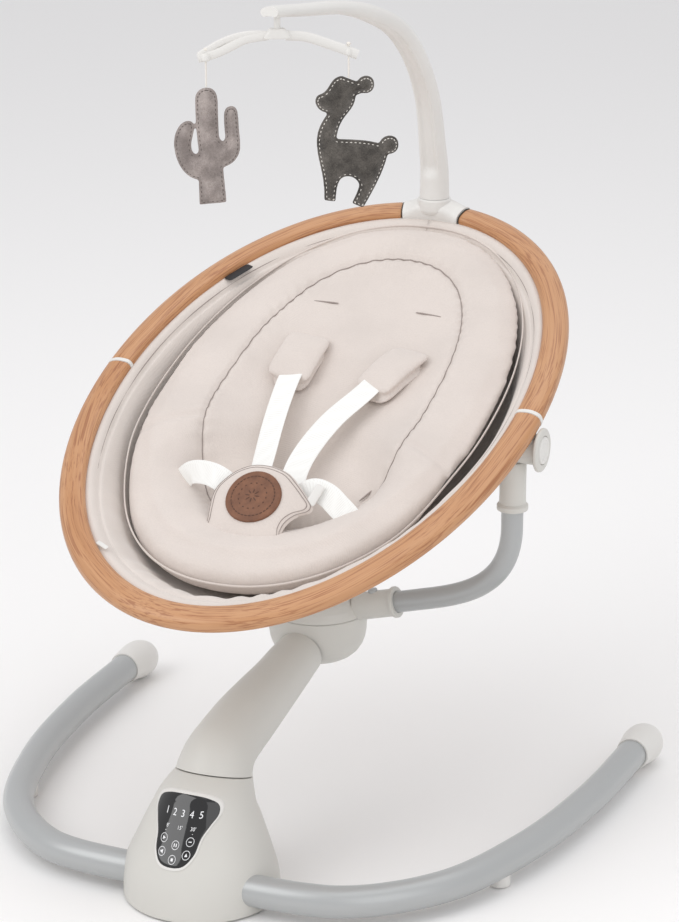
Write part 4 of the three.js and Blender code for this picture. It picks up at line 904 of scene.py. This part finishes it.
class SWING_OT_arm(bpy.types.Operator):
    """Swing arm shell, hub bowl and cap with their sockets"""
    bl_idname = "swing.arm"
    bl_label = "Swing arm and hub"

    def execute(self, context):
        def arm_place(u, v):
            angle = 2 * math.pi * u
            if v < 0.03:
                return ring_point(ARM_RINGS, 0.0, angle, -5 * (1 - v / 0.03))
            return ring_point(ARM_RINGS, (v - 0.03) / 0.97, angle)
        arm = shaped_grid("arm_shell", 120, 90, arm_place, 45)
        settle(arm, LOOKS["shell"], "swing_arm", "shell", "swing_arm_shell")
        bowl = turned("hub_lower",
                      [(0, 140), (17, 140.6), (24, 142.5), (32, 145.6), (38, 149), (43.5, 154), (48, 161),
                       (50.4, 168), (51.5, 175), (52, 185), (52, 195.4), (51.4, 196.2), (48, 196.2)], UP,
                      Vector((0, HUB_Y, 0)), 96, 60)
        settle(bowl, LOOKS["shell"], "swing_arm", "shell", "hub_bowl")
        dome = turned("hub_dome",
                      [(48, 196.6), (51.4, 196.6), (52, 197.4), (51, 201), (49, 206), (45.5, 211),
                       (40, 215.6), (34, 219), (26, 221.8), (16, 223.4), (6, 224), (0, 224)], UP,
                      Vector((0, HUB_Y, 0)), 96, 55)
        parts = [dome]
        for side_name, side in SIDES:
            axis = Vector((side * math.cos(SOCKET_RISE), 0, math.sin(SOCKET_RISE)))
            centre = Vector((side * SOCKET_X, YOKE_Y, SOCKET_Z))
            parts.append(turned("socket",
                                [(0, -22), (14.5, -22), (14.5, 19.4), (14.9, 20.4), (16.2, 20.8),
                                 (16.5, 21.6), (16.5, 24), (15.9, 25), (11.6, 25), (11.6, 20)], axis,
                                centre, 56, 45))
            button_axis = axis.cross(Vector((0, side, 0))).normalized()
            if button_axis.z < 0:
                button_axis.negate()
            button = turned("snap_" + side_name,
                            [(0, 12), (5, 12), (5, 16.2), (4.4, 17.2), (2.6, 17.8), (0, 18)], button_axis,
                            centre, 32, 25)
            settle(button, LOOKS["tube"], "snap_button_" + side_name, "shell", "snap_button_" + side_name)
        settle(joined("hub_upper", parts), LOOKS["shell"], "swing_arm", "shell", "hub_cap")
        for node in ("arm_core", "swing_shaft"):
            settle(merged_copy(node, node + "_finish"), LOOKS["steel"], "swing_arm", "steel", node)
        return {"FINISHED"}


class SWING_OT_yoke(bpy.types.Operator):
    """Yoke tubes, pivot housings, buttons and pins"""
    bl_idname = "swing.yoke"
    bl_label = "Yoke and pivots"

    def execute(self, context):
        rise = Vector((math.cos(SOCKET_RISE), 0, math.sin(SOCKET_RISE)))
        for side_name, side in SIDES:
            def flipped(point, side=side):
                return Vector((side * point.x, point.y, point.z))

            def yoke_centre(share):
                socket = Vector((SOCKET_X, YOKE_Y, SOCKET_Z))
                start, bend, end = socket - rise * 18, socket + rise * 60, Vector((YOKE_X, YOKE_Y, 318))
                lengths = (78, 215, 54)
                run = share * sum(lengths)
                if run < lengths[0]:
                    return start.lerp(bend, run / lengths[0])
                if run > lengths[0] + lengths[1]:
                    return end.lerp(Vector((YOKE_X, YOKE_Y, 372)),
                                    (run - lengths[0] - lengths[1]) / lengths[2])
                t = (run - lengths[0]) / lengths[1]
                b, c = bend + rise * 45, Vector((YOKE_X, YOKE_Y, 255))
                return bent(bend, b, c, end, t)

            def tube_place(u, v):
                turn = 2 * math.pi * u
                travel = (yoke_centre(min(1, v + 0.003)) - yoke_centre(max(0, v - 0.003))).normalized()
                across, up = Vector((0, 1, 0)), travel.cross(Vector((0, 1, 0)))
                return flipped(yoke_centre(v) + (across * math.cos(turn) + up * math.sin(turn)) * YOKE_RADIUS)
            tube = shaped_grid("yoke_" + side_name, 40, 90, tube_place, 60)
            settle(tube, LOOKS["tube"], "swing_arm", "tube", "yoke_tube_" + side_name)
            post = Vector((side * YOKE_X, YOKE_Y, 0))
            sleeve = turned("sleeve",
                            [(11.4, 337.4), (14.6, 337), (15.7, 337.6), (16, 338.6), (16, 342.4),
                             (15, 343.6), (13.7, 345), (13.5, 352), (13.5, 386), (12.6, 388.8), (9, 389.5),
                             (0, 389.5)], UP, post, 56, 66)
            pivot = Vector((0, YOKE_Y, PIVOT_Z))
            out = Vector((side, 0, 0))
            housing = turned("housing",
                             [(0, 213.9), (14.6, 213.9), (15.8, 215), (15.8, 242.4), (20.6, 243.2),
                              (22.2, 244.2), (22.5, 245.2), (22.2, 247), (20.6, 248.2), (17.4, 248.6),
                              (14.9, 248.2), (14.6, 245), (14.6, 240), (0, 240)], out, pivot, 72, 78)
            settle(joined("pivot_" + side_name, [housing, sleeve]), LOOKS["shell"], "swing_arm", "shell",
                   "pivot_housing_" + side_name)
            button = turned("recline_" + side_name,
                            [(0, 244), (14.2, 244), (14.2, 248.0), (13.4, 249.2), (11, 249.8), (9.6, 248.6),
                             (7, 248.2), (0, 248.1)], out, pivot, 56, 49)
            settle(button, LOOKS["strip"], "recline_button_" + side_name, "shell",
                   "recline_button_" + side_name)
            settle(merged_copy("pivot_pin_" + side_name, "pin_" + side_name), LOOKS["steel"], "swing_arm",
                   "steel", "pivot_pin_" + side_name)
        return {"FINISHED"}


# ------------------------------------------------------------------ wood-look rim
RIM_SECTION = [(-13.6, 0), (-11.5, -6), (3, -8.2), (9, -10.8), (13.4, -7), (12.4, 1.5), (5, 5.8), (-4, 6.4),
               (-11, 4.6)]


def rim_section(u, grow=0.0):
    loop = [(x * (1 + grow / 13.6), -2.2 + (w + 2.2) * (1 + grow / 8.6), 0) for x, w in RIM_SECTION]
    loop = loop[-1:] + loop + loop[:2]
    return route_at(loop, (1 + u * len(RIM_SECTION)) / (len(loop) - 1))


def real_uv(obj, width, length):
    """Writes the piece's UV map in metres, so that patterns keep their real size."""
    for corner in obj.data.uv_layers.active.data:
        corner.uv = (corner.uv.x * width, corner.uv.y * length)
    return obj


def rim_piece(name, low, high, grow=0.0, along=120, length=0.7):
    """A stretch of the rim between two angles in degrees, with rounded ends."""
    def place(u, v):
        share = min(1, max(0, (v - 0.006) / 0.988))
        inset = -1.0 if v < 0.003 or v > 0.997 else 0.0
        section = rim_section(u, grow + inset)
        return rim_place(math.radians(low + (high - low) * share), section.x, section.y)
    return real_uv(shaped_grid(name, 64, along, place, 50), 0.075, length)


class SWING_OT_rim(bpy.types.Operator):
    """Wood-look rim, its joints and the head clamp with the toy arm's collar"""
    bl_idname = "swing.rim"
    bl_label = "Seat rim"

    def execute(self, context):
        for name, low, high, node in (("oak_head_right", 9.1, 88.5, "rim_head_right"),
                                      ("oak_foot", 89.5, 270.5, "rim_foot"),
                                      ("oak_head_left", 271.5, 350.9, "rim_head_left")):
            rim = rim_piece(name, low, high, 0, 90 if node != "rim_foot" else 180, 0.0088 * (high - low))
            settle(rim, LOOKS["wood"], "seat", "wood_look", node)
        for side_name, angle in (("right", 89), ("left", 271)):
            seam = rim_piece("rim_seam_" + side_name, angle - 0.42, angle + 0.42, 0.5, 12)
            settle(seam, LOOKS["strip"], "seat", "shell", "rim_joint_" + side_name)
            settle(merged_copy("seat_bracket_" + side_name, "bracket_" + side_name), LOOKS["steel"], "seat",
                   "steel", "seat_bracket_" + side_name)
        def clamp_place(u, v):
            angle = math.radians(-8.7 + 17.4 * min(1, max(0, (v - 0.01) / 0.98)))
            section = rim_section(u, -1.0 if v < 0.003 or v > 0.997 else 1.6)
            hump = 6.5 * smooth(section.y, -4, 5) * (1 - smooth(abs(math.degrees(angle)), 3.2, 8.4))
            return rim_place(angle, section.x, section.y + hump)
        clamp = shaped_grid("clamp_band", 64, 70, clamp_place, 50)
        origin = Vector((0, TOY_ARM_Y, 0))
        collar = turned("collar",
                        [(0, 549), (12, 549.5), (16, 551.5), (18, 555), (18.5, 560), (18.5, 566.4),
                         (17.8, 567.7), (17, 568), (0, 568)], UP, origin, 72, 64)
        settle(joined("head_clamp_shell", [clamp, collar]), LOOKS["strip"], "seat", "shell", "head_clamp")
        edges = [rim_piece("clamp_edge", angle - 0.12, angle + 0.12, 0.35, 4) for angle in (-8.95, 8.95)]
        settle(joined("clamp_shadow", edges), LOOKS["dark"], "seat", "shell")
        return {"FINISHED"}


# ------------------------------------------------------------------ liner
LINER_INSET, LINER_DEPTH, LINER_STEEPNESS, ZIP_SHARE = 12.6, 105, 5, 0.957


class SWING_OT_liner(bpy.types.Operator):
    """Fabric liner stretched inside the rim, with its zip line and pleats"""
    bl_idname = "swing.liner"
    bl_label = "Seat liner"

    def execute(self, context):
        def edge(t):
            point = rim_point(t)
            travel = (rim_point(t + 0.01) - rim_point(t - 0.01)).normalized()
            outwards = 1 if travel.y * point.x - travel.x * point.y > 0 else -1
            return point + Vector((travel.y, -travel.x, 0)) * -LINER_INSET * outwards

        def liner_place(u, v):
            t = 2 * math.pi * u
            rim_edge = edge(t)
            share = 1 - 0.16 * v / 0.45 if v < 0.45 else 0.84 * (1 - (v - 0.45) / 0.55)
            v_here = share * rim_edge.y
            depth = LINER_DEPTH - 0.15 * max(0, -v_here - 90)
            drop = depth * (1 - share ** LINER_STEEPNESS) * mixed(0.25, 1, smooth(1 - share, 0.04, 0.2))
            w = rim_edge.z * share - 1.5 - drop
            roll = 2.6 * bump(share, 0.975, 0.022) - 1.6 * bump(share, 0.945, 0.006)
            near_foot = max(0, -math.cos(t)) ** 1.5
            pleats = math.sin(t * 47 + 2 * math.sin(t * 9)) * 1.6 * near_foot * bump(share, 0.88, 0.09)
            folds = 1.8 * noise.noise(Vector((t * 5, share * 26, 1.7))) * bump(share, 0.9, 0.1)
            w += roll + pleats + folds
            return seat_point(share * rim_edge.x, v_here, w)
        liner = shaped_grid("liner_cloth", 320, 90, liner_place, 80)
        applied(liner, "SOLIDIFY", thickness=0.0012, offset=-1)
        settle(liner, LOOKS["liner"], "seat", "fabric", "seat_liner")

        def zip_place(u, v):
            t = 2 * math.pi * v
            turn = 2 * math.pi * u
            base = edge(t) * ZIP_SHARE
            drop = LINER_DEPTH * (1 - ZIP_SHARE ** LINER_STEEPNESS) * 0.255
            w = base.z - 1.2 - drop + 0.6 * math.sin(turn)
            return seat_point(base.x + 0.6 * math.cos(turn), base.y, w)
        # Zip line in the seam look, whose dark tone is thread colour and painted shade.
        line = shaped_grid("liner_zip_line", 8, 360, zip_place, 80)
        settle(line, LOOKS["seam"], "seat", "fabric")
        tag = slab("blank_tag", (-171, 190, 1.6), (0.5, 1, 0.0), (1, -0.5, 0.12), 34, 13, 1.2)
        settle(tag, LOOKS["black"], "seat", "fabric")
        pull = slab("zip_pull", (-118, -273, 1.6), (1, -0.5, 0.0), (0.5, 1, 0.1), 16, 5, 1.6)
        settle(pull, LOOKS["strip"], "seat", "shell")
        return {"FINISHED"}


def seat_direction(x, v, w):
    return (seat_point(x, v, w) - seat_point(0, 0, 0)).normalized()


def slab(name, centre, along, across, length, width, thickness, power=6.0, crown=0.25, bend=0.0):
    """A pillow or tag in the seat's frame: superelliptic outline, rounded edge, may bend along its length."""
    along, across = seat_direction(*along), seat_direction(*across)
    across = (across - along * across.dot(along)).normalized()
    up = along.cross(across)
    if up.z < 0:
        up.negate()
    middle = seat_point(*centre)
    shape = 2 / power

    def place(u, v):
        turn = 2 * math.pi * u
        top = v < 0.5
        rho = min(1, 2 * v if top else 2 - 2 * v)
        a = math.copysign(abs(math.cos(turn)) ** shape, math.cos(turn)) * length / 2 * rho
        b = math.copysign(abs(math.sin(turn)) ** shape, math.sin(turn)) * width / 2 * rho
        dome = max(0.0, 1 - rho ** 4) ** 0.5 * (1 - crown) + crown * (1 - rho ** 2)
        rise = thickness / 2 * dome * (1 if top else -1)
        return middle + along * a + across * b + up * (rise - bend * (2 * a / length) ** 2)
    return shaped_grid(name, 72, 40, place, 75)


# ------------------------------------------------------------------ padded cushion
CUSHION_X, CUSHION_HEAD, CUSHION_FOOT, CUSHION_MIDDLE, CUSHION_POWER = 184.0, 304.0, 287.0, 16.0, 2.15


def seam_share(angle):
    return 0.63 + 0.17 * max(0.0, math.cos(angle)) ** 2


def mixed(a, b, share):
    return a + (b - a) * share


def cushion_heights(share, angle, v):
    """Top and bottom of the cushion out of the rim's plane, at a share of its outline."""
    foot = smooth(-math.cos(angle), 0.27, 0.66)
    head = max(0.0, math.cos(angle)) ** 2
    seam = seam_share(angle)
    seam_w = mixed(-9, -50, foot)
    if share < seam:
        middle = mixed(-15, -52, smooth(-v, -180, 180))
        top = middle + (seam_w - middle) * max(0.0, share / seam) ** 2.2
        return top, top - 24
    q = (share - seam) / (1 - seam)
    edge = mixed(mixed(-12, -3, head), -20, foot)
    crown = mixed(3, 25, foot) * max(0.0, 4 * q * (1 - q)) ** 0.8
    return mixed(seam_w, edge, q ** mixed(1.2, 2, foot)) + crown, mixed(seam_w - 24, edge - 10 - 12 * foot, q)


def cushion_share(x, v):
    """Share of the outline and angle of a point of the cushion."""
    along = (v - CUSHION_MIDDLE) / (CUSHION_HEAD if v > CUSHION_MIDDLE else CUSHION_FOOT)
    half = CUSHION_POWER / 2
    a, b = (abs(x) / CUSHION_X) ** half, math.copysign(abs(along) ** half, along)
    return math.hypot(a, b) ** (1 / half), math.atan2(math.copysign(a, x), b)


def cushion_xv(share, angle):
    shape = 2 / CUSHION_POWER
    along = math.copysign(abs(math.cos(angle)) ** shape, math.cos(angle))
    return (share * CUSHION_X * math.copysign(abs(math.sin(angle)) ** shape, math.sin(angle)),
            CUSHION_MIDDLE + share * (CUSHION_HEAD if along > 0 else CUSHION_FOOT) * along)


def puffed(obj, pressure, limit, voxel):
    """Remeshes a padded piece, blows it up as cloth and keeps each point within a limit in millimetres."""
    applied(obj, "REMESH", mode="VOXEL", voxel_size=voxel * MM)
    start = [vertex.co.copy() for vertex in obj.data.vertices]
    pick(obj)
    cloth = obj.modifiers.new("cloth", "CLOTH")
    settings = cloth.settings
    settings.quality, settings.mass = 6, 0.25
    settings.tension_stiffness = settings.compression_stiffness = 18
    settings.use_pressure, settings.uniform_pressure_force = True, pressure
    settings.effector_weights.gravity = 0
    cloth.point_cache.frame_start, cloth.point_cache.frame_end = 1, 20
    for number in range(1, 21):
        bpy.context.scene.frame_set(number)
    bpy.ops.object.modifier_apply(modifier=cloth.name)
    bpy.context.scene.frame_set(1)
    for vertex, rest in zip(obj.data.vertices, start):
        move = vertex.co - rest
        if move.length > limit * MM:
            vertex.co = rest + move.normalized() * limit * MM
    applied(obj, "SMOOTH", factor=0.5, iterations=2)
    return obj


class SWING_OT_cushion(bpy.types.Operator):
    """Padded cushion with a quilted border, seam channel and strap slots shown as dark strips of painted
    shade
    """
    bl_idname = "swing.cushion"
    bl_label = "Seat cushion"

    def execute(self, context):
        def cushion_place(u, v):
            angle = 2 * math.pi * u
            if v < 0.6:
                share, layer = 0.97 * max(0.0, v / 0.6) ** 0.9, 1.0
            elif v < 0.7:
                turn = (v - 0.6) / 0.1 * math.pi
                share, layer = 0.97 + 0.03 * math.sin(turn), 0.5 + 0.5 * math.cos(turn)
            else:
                share, layer = 0.97 * (1 - (v - 0.7) / 0.3), 0.0
            x, along = cushion_xv(share, angle)
            top, bottom = cushion_heights(share, angle, along)
            return seat_point(x, along, bottom + (top - bottom) * layer)
        cushion = shaped_grid("seat_pad", 144, 100, cushion_place, 80)
        puffed(cushion, 4.0, 3.0, 5.0)
        applied(cushion, "SUBSURF", levels=1, render_levels=1)
        up = seat_direction(0, 0, 1)
        for vertex in cushion.data.vertices:
            x, v, w = seat_place(vertex.co)
            share, angle = cushion_share(x, v)
            top, bottom = cushion_heights(min(share, 1), angle, v)
            if w < (top + bottom) / 2:
                continue
            off = (share - seam_share(angle)) * 160
            groove = -3.2 * math.exp(-(off / 2.6) ** 2)
            roll_seam = abs(-math.cos(angle) - 0.3) * 220
            groove -= 3.0 * math.exp(-(roll_seam / 5) ** 2) * smooth(share, seam_share(angle) - 0.02, 0.7)
            pucker = 0.7 * math.sin(angle * 64 + 3 * math.sin(angle * 7)) * math.exp(-(off / 9) ** 2)
            rumple = 1.5 * noise.noise(Vector((x * 0.021, v * 0.016, 3.1)))
            rumple += 0.5 * noise.noise(Vector((x * 0.07, v * 0.05, 8)))
            vertex.co += up * (groove + pucker + rumple) * MM
        bpy.ops.object.shade_smooth()
        settle(cushion, LOOKS["fabric"], "seat", "fabric", "seat_cushion")

        def surface(x, along, fallback):
            start = seat_point(x, along, 60) * MM
            hit, place, _, _ = cushion.ray_cast(start, seat_direction(0, 0, -1))
            return seat_place(place)[2] if hit else fallback

        def seam_height(angle):
            x, along = cushion_xv(seam_share(angle), angle)
            return surface(x, along, cushion_heights(seam_share(angle), angle, along)[0])
        steps = 300
        heights = [seam_height(2 * math.pi * i / steps) for i in range(steps)]

        def seam_place(u, v):
            angle, turn = 2 * math.pi * v, 2 * math.pi * u
            x, along = cushion_xv(seam_share(angle) + 0.0026 * math.cos(turn), angle)
            return seat_point(x, along, heights[round(v * steps) % steps] + 0.35 + 0.7 * math.sin(turn))
        # Seam line in the seam look: thread colour and the painted shade of the groove.
        seam = shaped_grid("panel_seam", 8, steps, seam_place, 80)
        settle(seam, LOOKS["seam"], "seat", "fabric")

        def piping_place(u, v):
            angle, turn = 2 * math.pi * v, 2 * math.pi * u
            x, along = cushion_xv(1.0 + 0.004 * math.cos(turn), angle)
            top, bottom = cushion_heights(1.0, angle, along)
            return seat_point(x * 1.008, CUSHION_MIDDLE + (along - CUSHION_MIDDLE) * 1.006,
                              top * 0.65 + bottom * 0.35 + 1.5 * math.sin(turn))
        piping = shaped_grid("edge_piping", 10, 300, piping_place, 80)
        settle(piping, LOOKS["fabric"], "seat", "fabric")
        # Painted shade: the strap slots are dark strips laid on the cushion where the shade of the openings
        # falls.
        slot_shades = []
        for x, v, length, turn in ((-60, 168, 31, 0.0), (60, 166, 31, -0.12), (88, -88, 34, 1.2)):
            slot_shades.append(slab("slot_shade", (x, v, surface(x, v, -15) + 0.2),
                              (math.cos(turn), math.sin(turn), 0.02), (-math.sin(turn), math.cos(turn), 0),
                              length, 2.0, 1.6, 3))
        settle(joined("strap_slot_shades", slot_shades), LOOKS["seam"], "seat", "fabric")
        return {"FINISHED"}


def seat_place(co):
    """Seat-frame coordinates in millimetres of a mesh point."""
    y, z = co.y / MM - SEAT_Y, co.z / MM - SEAT_Z
    return (co.x / MM, y * math.cos(SEAT_TILT) + z * math.sin(SEAT_TILT),
            -y * math.sin(SEAT_TILT) + z * math.cos(SEAT_TILT))


# ------------------------------------------------------------------ harness
SHOULDERS = {"right": [(66, 104, -22), (62, 86, -8), (50, 50, -7), (42, 20, -7), (24, -22, -12),
                       (14, -66, -18), (16, -104, -18), (22, -126, -18)],
             "left": [(-52, 122, -22), (-52, 90, -10), (-48, 50, -8), (-44, 18, -8), (-38, -30, -15),
                      (-28, -80, -20), (-18, -118, -18), (-14, -128, -16)]}
WAISTS = {"right": [(30, -146, -20), (50, -137, -9), (66, -139, -11), (80, -146, -17), (92, -152, -24),
                    (99, -154, -34)],
          "left": [(-30, -146, -20), (-52, -138, -10), (-72, -130, -12), (-90, -126, -18),
                   (-103, -126, -30)]}


def webbing(name, route, width, face, thickness=1.5, twist=0.0):
    """A flat strap along a route of the seat's frame; face is the direction its flat side looks at."""
    points = [seat_point(*p) for p in route]
    look_at = seat_direction(*face)
    length = sum((route_at(points, i / 40) - route_at(points, (i + 1) / 40)).length for i in range(40))

    def place(u, v):
        share = min(1, max(0, (v - 0.01) / 0.98))
        centre = route_at(points, share)
        ahead, behind = route_at(points, min(1, share + 0.01)), route_at(points, max(0, share - 0.01))
        travel = (ahead - behind).normalized()
        across = travel.cross(look_at).normalized()
        across.rotate(Matrix.Rotation(twist * (share - 0.5), 3, travel))
        up = across.cross(travel)
        turn = 2 * math.pi * u
        a = math.copysign(abs(math.cos(turn)) ** 0.3, math.cos(turn)) * width / 2
        b = math.copysign(abs(math.sin(turn)) ** 0.6, math.sin(turn)) * thickness / 2
        closing = 1 if 0.002 < v < 0.998 else 0.0
        return centre + (across * a + up * b) * closing
    return real_uv(shaped_grid(name, 40, 70, place, 60), width * 2 * MM, length * MM)


CROTCH_FOOT, CROTCH_LOW, CROTCH_RUN, CROTCH_CLIMB = -205, -23.5, 76, 29.5


def crotch_point(x, along, lift):
    """A point on the crotch pad: across, up its length from the foot end, and out of its face."""
    length, lean = math.hypot(CROTCH_RUN, CROTCH_CLIMB), math.atan2(CROTCH_CLIMB, CROTCH_RUN)
    curve = -0.0042 * x * x - 3 * ((along - length / 2) / (length / 2)) ** 2
    out = lift + curve
    return seat_point(x, CROTCH_FOOT + along * math.cos(lean) - out * math.sin(lean),
                      CROTCH_LOW + along * math.sin(lean) + out * math.cos(lean))


CROTCH_OUTLINE = [(37, 0), (37.5, 12), (40, 22), (47, 33), (57, 42), (58, 48), (50, 57), (38, 68), (26, 77),
                  (13, 81), (0, 82.5), (-15, 81), (-30, 74), (-41, 64), (-48, 54), (-50, 44), (-48.5, 30),
                  (-46, 15), (-43, 0)]


def crotch_edge(turn, inset=0.0):
    loop = [(x, y, 0) for x, y in CROTCH_OUTLINE]
    middle = Vector((0, 42, 0))
    loop = loop[-1:] + loop + loop[:2]
    point = route_at(loop, (1 + turn * len(CROTCH_OUTLINE)) / (len(loop) - 1))
    return point + (middle - point).normalized() * inset


class SWING_OT_harness(bpy.types.Operator):
    """Five-point harness: webbing, shoulder pads, crotch pad, badge and buckle"""
    bl_idname = "swing.harness"
    bl_label = "Harness"

    def execute(self, context):
        for side_name, side in SIDES:
            strap = webbing("shoulder_webbing_" + side_name, SHOULDERS[side_name], 25,
                            (0.1 * side, -0.1, 1), 1.6, -0.5 * side)
            settle(strap, LOOKS["webbing"], "seat", "webbing", "shoulder_strap_" + side_name)
            waist = webbing("waist_webbing_" + side_name, WAISTS[side_name], 25, (0.05, -0.55, 0.8), 1.6,
                            0.25 * side)
            settle(waist, LOOKS["webbing"], "seat", "webbing", "waist_strap_" + side_name)
        pads = (("left", (-50, 70, -6), (-0.02, 1, 0.02), (1, 0, -0.12), 75),
                ("right", (57, 66, -6), (0.34, 1, 0.02), (1, -0.34, 0.12), 75))
        for side_name, centre, along, across, length in pads:
            upper = slab("upper_lobe", centre, along, across, length, 50, 12, 7, 0.35, 3)
            x, v, w = centre
            lower = slab("lower_lobe", (x + 2, v - 9, w - 9), along, across, length - 4, 43, 11, 4, 0.4, 3)
            pad = joined("pad_" + side_name, [upper, lower])
            puffed(pad, 3.0, 2.0, 2.2)
            applied(pad, "SUBSURF", levels=1, render_levels=1)
            bpy.ops.object.shade_smooth()
            settle(pad, LOOKS["fabric"], "seat", "fabric", "shoulder_pad_" + side_name)

        def pad_place(u, v):
            top = v < 0.5
            rho = min(1, 2 * v if top else 2 - 2 * v)
            edge = crotch_edge(u)
            point = Vector((0, 42, 0)).lerp(edge, rho)
            thick = 4.6 * max(0.0, 1 - rho ** 6) ** 0.5 * (1 if top else -1)
            return crotch_point(point.x, point.y, 4.6 + thick)
        pad = shaped_grid("crotch_cover", 160, 48, pad_place, 75)
        settle(pad, LOOKS["fabric"], "seat", "fabric", "crotch_pad")
        for name, inset in (("cover_seam_outer", 2.0), ("cover_seam_inner", 5.2)):
            def stitch_place(u, v, inset=inset):
                turn = 2 * math.pi * u
                edge = crotch_edge(v, inset + 0.45 * math.cos(turn))
                rho = 1 - inset / 45
                lift = 4.75 + 4.6 * max(0.0, 1 - rho ** 6) ** 0.5 + 0.3 * math.sin(turn)
                return crotch_point(edge.x, edge.y, lift)
            settle(shaped_grid(name, 8, 260, stitch_place, 80), LOOKS["seam"], "seat", "fabric")
        disc, relief = self.badge()
        settle(disc, LOOKS["badge"], "seat", "badge", "crotch_badge")
        settle(relief, LOOKS["badge_relief"], "seat", "badge")
        settle(merged_copy("buckle_body", "buckle_shell"), LOOKS["strip"], "seat", "shell", "buckle_body")
        settle(merged_copy("buckle_button", "buckle_press"), LOOKS["strip"], "buckle_button", "shell",
               "buckle_button")
        tongue = slab("waist_tongue", (57, -146, -7), (1, -0.15, -0.3), (0.1, 1, 0.5), 10, 24, 2.6, 6)
        settle(tongue, LOOKS["strip"], "seat", "shell")
        return {"FINISHED"}

    def badge(self):
        """Round badge with a pressed border of dashes and a plain eight-petal rosette."""
        def disc_place(u, v):
            turn = 2 * math.pi * u
            radius, rise = profile_at([(0, 0), (29, 0), (29, 1.4), (28.2, 2.1), (27, 2.2), (26.4, 1.9),
                                       (0, 1.9)], v)
            return crotch_point(radius * math.cos(turn), 42 + radius * math.sin(turn), 9.3 + rise)
        disc = shaped_grid("badge_disc", 96, 72, disc_place, 40)
        marks = []
        for ring, count, length in ((22.6, 36, 1.8), (14.6, 16, 1.2)):
            for i in range(count):
                turn = 2 * math.pi * i / count
                marks.append(self.dash(ring * math.cos(turn), ring * math.sin(turn), turn, length))
        for i in range(8):
            turn = 2 * math.pi * i / 8
            marks.append(self.dash(5.2 * math.cos(turn), 5.2 * math.sin(turn), turn + math.pi / 2, 2.8))
        return disc, joined("badge_relief", marks)

    def dash(self, x, y, turn, length):
        deselect()
        bpy.ops.mesh.primitive_uv_sphere_add(segments=8, ring_count=5, radius=1)
        obj = bpy.context.object
        for vertex in obj.data.vertices:
            a, b, c = vertex.co
            dx, dy = a * 0.7, b * length
            across = x + dx * math.cos(turn) - dy * math.sin(turn)
            along = 42 + y + dx * math.sin(turn) + dy * math.cos(turn)
            vertex.co = crotch_point(across, along, 11.25 + c * 0.35) * MM
        return obj


# ------------------------------------------------------------------ hidden drive
class SWING_OT_drive(bpy.types.Operator):
    """Finishes for the drive inside the casing"""
    bl_idname = "swing.drive"
    bl_label = "Drive"

    def execute(self, context):
        for node, look, body, slot in (("motor_pinion", "strip", "pinion", "gear"),
                                       ("sector_gear", "strip", "swing_arm", "gear"),
                                       ("swing_motor", "steel", "base", "steel"),
                                       ("bearing_lower", "steel", "base", "steel"),
                                       ("bearing_upper", "steel", "base", "steel")):
            settle(merged_copy(node, node + "_finish"), LOOKS[look], body, slot, node)
        return {"FINISHED"}


# ------------------------------------------------------------------ settings, panel and registration
class SwingColours(bpy.types.PropertyGroup):
    """sRGB colours of the main finishes, as hex codes"""
    shell: bpy.props.StringProperty(name="Shells", description="Warm white moulded shells", default="D3D1CB")
    strip: bpy.props.StringProperty(name="Trim", description="White trim, toy arm and caps", default="E2E0DC")
    tube: bpy.props.StringProperty(name="Tubes", description="Satin silver paint of legs and yoke",
                                   default="B4B6B6")
    fabric: bpy.props.StringProperty(name="Padding", description="Greige jersey of cushion and pads",
                                     default="DCD2CB")
    liner: bpy.props.StringProperty(name="Liner", description="Jersey of the liner in the rim",
                                    default="DCD3CC")
    seam: bpy.props.StringProperty(name="Seams", description="Thread and shadow lines of the seams",
                                   default="A1958F")


OPERATORS = (SWING_OT_stage, SWING_OT_strings, SWING_OT_toys, SWING_OT_toy_arm, SWING_OT_base, SWING_OT_legs,
             SWING_OT_arm, SWING_OT_yoke, SWING_OT_rim, SWING_OT_liner, SWING_OT_cushion, SWING_OT_harness,
             SWING_OT_drive)


class SWING_PT_panel(bpy.types.Panel):
    """Lists the swing's groups of pieces and its colours"""
    bl_label = "Baby swing"
    bl_idname = "SWING_PT_panel"
    bl_space_type = "VIEW_3D"
    bl_region_type = "UI"
    bl_category = "Swing"

    def draw(self, context):
        for name in SwingColours.__annotations__:
            self.layout.prop(context.scene.swing_colours, name)
        for operator in OPERATORS:
            self.layout.operator(operator.bl_idname)


CLASSES = (SwingColours, *OPERATORS, SWING_PT_panel)


def register():
    for cls in CLASSES:
        bpy.utils.register_class(cls)
    bpy.types.Scene.swing_colours = bpy.props.PointerProperty(type=SwingColours)


def unregister():
    del bpy.types.Scene.swing_colours
    for cls in reversed(CLASSES):
        bpy.utils.unregister_class(cls)


def main():
    register()
    make_looks(bpy.context.scene.swing_colours)
    for operator in OPERATORS:
        group, name = operator.bl_idname.split(".")
        getattr(getattr(bpy.ops, group), name)()


if __name__ == "__main__":
    main()
